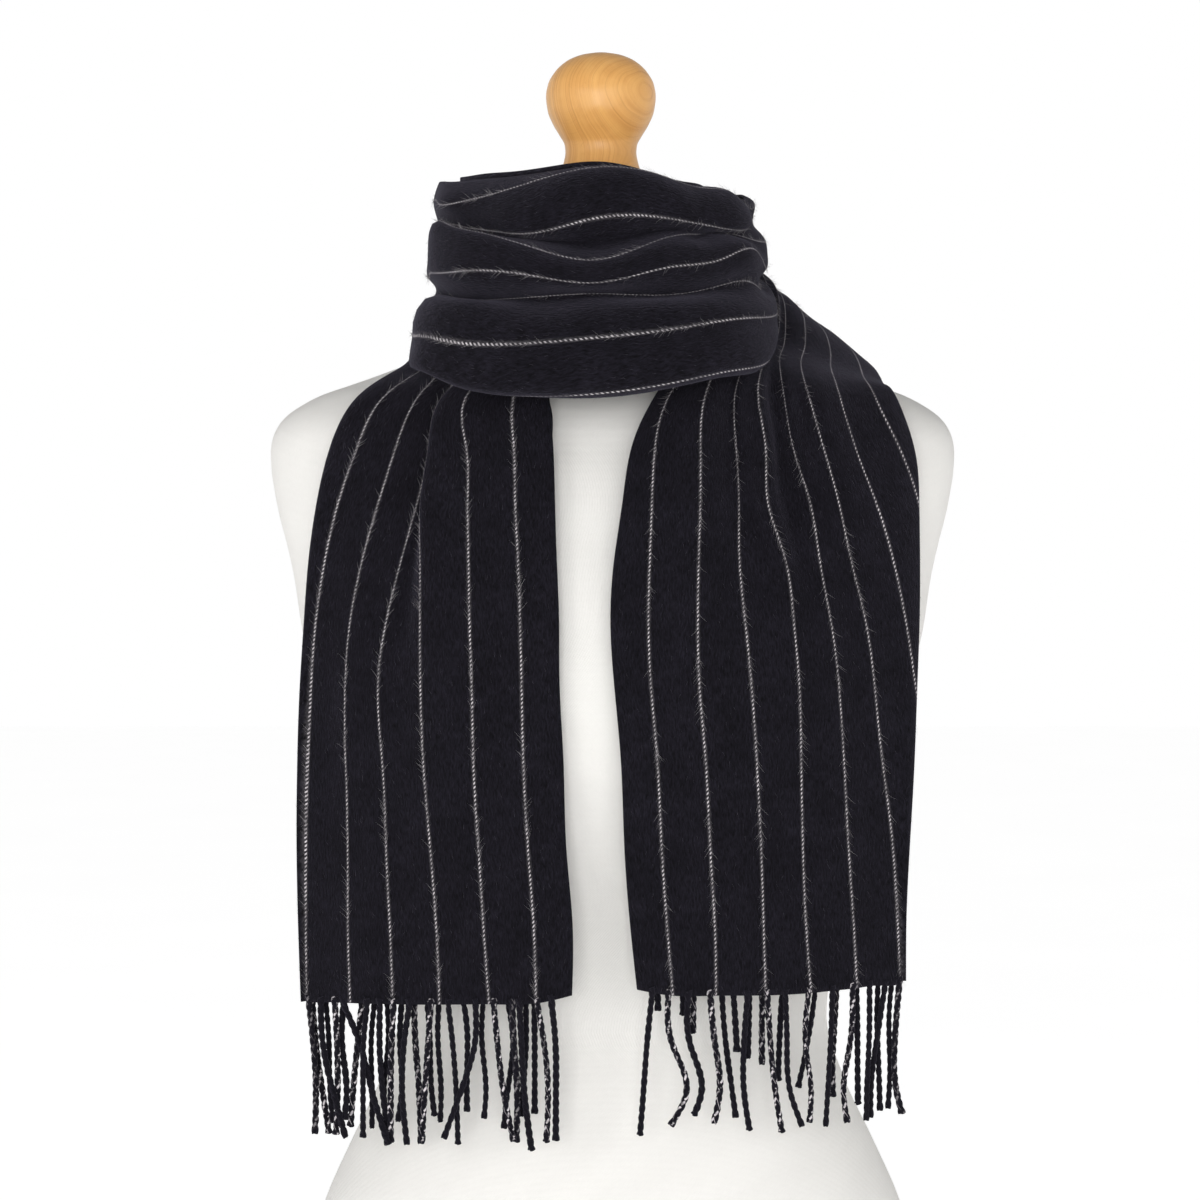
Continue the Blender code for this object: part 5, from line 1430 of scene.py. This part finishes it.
# %% Varnished wood
WOOD, tree, shader = new_finish("varnished wood", 0.38)
position = tree.nodes.new("ShaderNodeTexCoord").outputs["Object"]
x, y, z = [calc(tree, "MULTIPLY", part, 1000.0) for part in split(tree, position)]
lean = noise(tree, place_at(tree, calc(tree, "DIVIDE", x, 40.0), calc(tree, "DIVIDE", y, 40.0),
                            calc(tree, "DIVIDE", z, 70.0)), detail=2.0)
ring_x = calc(tree, "ADD", calc(tree, "MULTIPLY_ADD", z, 0.10, 12.0), x)
ring_y = calc(tree, "ADD", y, -66.0)
ring = calc(tree, "SQRT", calc(tree, "ADD", calc(tree, "MULTIPLY", ring_x, ring_x),
                               calc(tree, "MULTIPLY", ring_y, ring_y)))
ring = calc(tree, "MULTIPLY_ADD", lean, 7.0, ring)
bands = noise(tree, place_at(tree, calc(tree, "MULTIPLY", ring, 0.55), 0.0,
                             calc(tree, "DIVIDE", z, 160.0)), detail=3.0, roughness=0.7)
lines = noise(tree, place_at(tree, calc(tree, "MULTIPLY", ring, 2.1), calc(tree, "DIVIDE", y, 60.0),
                             calc(tree, "DIVIDE", z, 90.0)), detail=2.0)
pores = use_group(tree, FIBRES, Across=calc(tree, "ADD", x, y), Along=z, Width=0.35, Length=6.0)
mottle = use_group(tree, MOTTLE, X=x, Y=y, Z=z, Size=22.0)["Tone"]
colour = blend_colour(tree, ramp(tree, bands, 0.30, 0.72), (0.72, 0.385, 0.12, 1), (0.60, 0.29, 0.08, 1))
colour = blend_colour(tree, ramp(tree, lines, 0.52, 0.75, 0.0, 0.45), colour, (0.38, 0.165, 0.042, 1))
colour = blend_colour(tree, ramp(tree, pores["Tone"], 0.7, 1.0, 0.0, 0.25), colour, (0.35, 0.15, 0.04, 1))
colour = blend_colour(tree, ramp(tree, mottle, 0.3, 1.0, 0.0, 0.35), colour, (0.78, 0.45, 0.16, 1))
tree.links.new(colour, shader.inputs["Base Color"])
tree.links.new(ramp(tree, bands, 0.2, 0.8, 0.34, 0.46), shader.inputs["Roughness"])
bumped(tree, shader, calc(tree, "MULTIPLY_ADD", pores["Height"], 0.5, bands), 0.0002)
shader.inputs["Specular IOR Level"].default_value = 0.3
shader.inputs["Coat Weight"].default_value = 0.12
shader.inputs["Coat Roughness"].default_value = 0.22
print("nodes in the wood:", len(tree.nodes))

# %% Spin the profiles
CAP_RADIUS = 51.0
CAP_THICK = 11.8
WOOD_GAP = 0.3
# The turned finial, from the foot up: radius at each height.
FINIAL = table(
    "height radius",
    (692.4, 44), (694.5, 44.6), (697, 40), (702, 31.5), (710, 24.5), (719, 21), (725, 20),
    (729, 20.4), (734, 23), (740, 26.6), (748, 29.9), (756.5, 30.9), (763, 29.8), (770, 25.9),
    (775.5, 20), (779, 12.6), (780.6, 5),
)


def turned(name, profile, material, segments=96):
    """A closed turned piece: the profile is (height, radius) pairs from the bottom up."""
    build = bmesh.new()
    outline = [(profile[0][0], 0), *profile, (profile[-1][0], 0)]
    verts = [build.verts.new((radius * MM, 0, height * MM)) for height, radius in outline]
    edges = [build.edges.new(pair) for pair in zip(verts, verts[1:])]
    bmesh.ops.spin(build, geom=verts + edges, axis=(0, 0, 1), cent=(0, 0, 0), angle=2 * math.pi,
                   steps=segments, use_merge=True)
    bmesh.ops.remove_doubles(build, verts=build.verts, dist=MM / 1000)
    bmesh.ops.translate(build, verts=build.verts, vec=(NECK_X * MM, NECK_Y * MM, 0))
    bmesh.ops.recalc_face_normals(build, faces=build.faces)
    mesh = bpy.data.meshes.new(name)
    build.to_mesh(mesh)
    build.free()
    mesh.materials.append(material)
    mesh.shade_smooth()
    mesh.set_sharp_from_angle(angle=math.radians(50))
    obj = bpy.data.objects.new(name, mesh)
    bpy.context.collection.objects.link(obj)
    return obj


def quarter(height, radius, size, low):
    """A rounded edge of a disc, as five points of a quarter circle."""
    turn = np.radians(np.linspace(0, 90, 5))
    if low:
        return [(height + size * (1 - math.sin(t)), radius - size * (1 - math.cos(t))) for t in turn[::-1]]
    return [(height - size * (1 - math.sin(t)), radius - size * (1 - math.cos(t))) for t in turn]


cap_low = FORM_TOP + WOOD_GAP
cap = turned("wooden_neck_cap", [*quarter(cap_low, CAP_RADIUS, 1.0, True),
                                 *quarter(cap_low + CAP_THICK, CAP_RADIUS, 2.0, False)], WOOD)

levels = np.concatenate([FINIAL["height"][:2], np.linspace(FINIAL["height"][1], 775.5, 60)[1:],
                         np.linspace(775.5, FINIAL["height"][-1], 12)[1:]])
finial = turned("turned_finial", list(zip(levels, smooth(FINIAL["height"], FINIAL["radius"], levels))), WOOD)
print("faces of the cap and finial:", len(cap.data.polygons), len(finial.data.polygons))

# %% [markdown]
# ## Stage, light and camera
# Product pictures like this are lit by a white room: a pale floor and backdrop, and two softboxes in
# front, which are what the varnish reflects. The camera stands two metres off, at the height of
# the picture's middle, and looks straight ahead.

# %% Floor and light
def floor():
    build = bmesh.new()
    bmesh.ops.create_grid(build, x_segments=2, y_segments=2, size=12.0)
    mesh = bpy.data.meshes.new("studio_floor")
    build.to_mesh(mesh)
    build.free()
    material, tree, shader = new_finish("white floor", 0.9)
    place = tree.nodes.new("ShaderNodeTexCoord").outputs["Object"]
    colour = ramp(tree, noise(tree, place, 3.0), 0.3, 0.7, 0.855, 0.87)
    tree.links.new(grey(tree, colour), shader.inputs["Base Color"])
    shader.inputs["Specular IOR Level"].default_value = 0.0
    shader.inputs["Emission Color"].default_value = (1, 1, 1, 1)
    shader.inputs["Emission Strength"].default_value = 0.58
    mesh.materials.append(material)
    obj = bpy.data.objects.new("studio_floor", mesh)
    bpy.context.collection.objects.link(obj)
    obj.location.z = -0.0005
    return obj


def softbox(name, turn, distance, height, size, power):
    """A square light, turned from the camera's side by an angle and aimed at the neck."""
    light = bpy.data.lights.new(name, "AREA")
    light.size = size
    light.energy = power
    obj = bpy.data.objects.new(name, light)
    bpy.context.collection.objects.link(obj)
    angle = math.radians(turn)
    obj.location = (distance * math.sin(angle), -distance * math.cos(angle), height)
    aim = obj.location.copy() * -1
    aim.z = 0.62 - height
    obj.rotation_euler = aim.to_track_quat("-Z", "Y").to_euler()
    return obj


floor()
softbox("softbox_left", -38, 2.5, 0.85, 0.75, 7.0)
softbox("softbox_right", 25, 2.7, 0.85, 0.75, 5.0)
softbox("softbox_low", -4, 2.9, 0.3, 1.3, 44.0)
world = bpy.data.worlds.new("white room")
world.use_nodes = True
sky = world.node_tree
upward = split(sky, sky.nodes.new("ShaderNodeTexCoord").outputs["Generated"])[2]
sky.nodes["Background"].inputs["Color"].default_value = (1.0, 1.0, 1.0, 1)
put(sky, ramp(sky, upward, 0.15, 0.6, 1.0, 0.38), sky.nodes["Background"].inputs["Strength"])
bpy.context.scene.world = world
bpy.context.scene.view_settings.view_transform = "Standard"

# %% Camera
eye = bpy.data.cameras.new("camera")
eye.sensor_width = 36.0
eye.lens = eye.sensor_width * (PICTURE_Y - CAMERA[1]) / (1200 * PIXEL)
camera = bpy.data.objects.new("camera", eye)
camera.location = CAMERA * MM
camera.rotation_euler = (math.radians(90), 0, 0)
bpy.context.collection.objects.link(camera)
bpy.context.scene.camera = camera
print("lens in mm:", round(eye.lens, 1))

# %% [markdown]
# ## Hand the pieces to the frame
# Each visual piece rides on the one rigid body and names the solids it stands for, and those solids
# are hidden.

# %% Pieces and solids
STANDS_FOR = [
    (scarf, "cashmere", ["left_tail", "back_wrap_inner", "neck_loop", "back_wrap_outer", "right_tail"]),
    (body, "jersey", ["dress_form"]),
    (cap, "turned_wood", ["neck_cap"]),
    (finial, "turned_wood", ["finial"]),
    (nap, "cashmere", []),
    (stray, "cashmere", []),
]
STANDS_FOR += [(piece, "cashmere", [node]) for node, piece in fringes.items()]
for piece, slot_name, nodes in STANDS_FOR:
    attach(piece, "root")
    if nodes:
        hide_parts(*nodes)
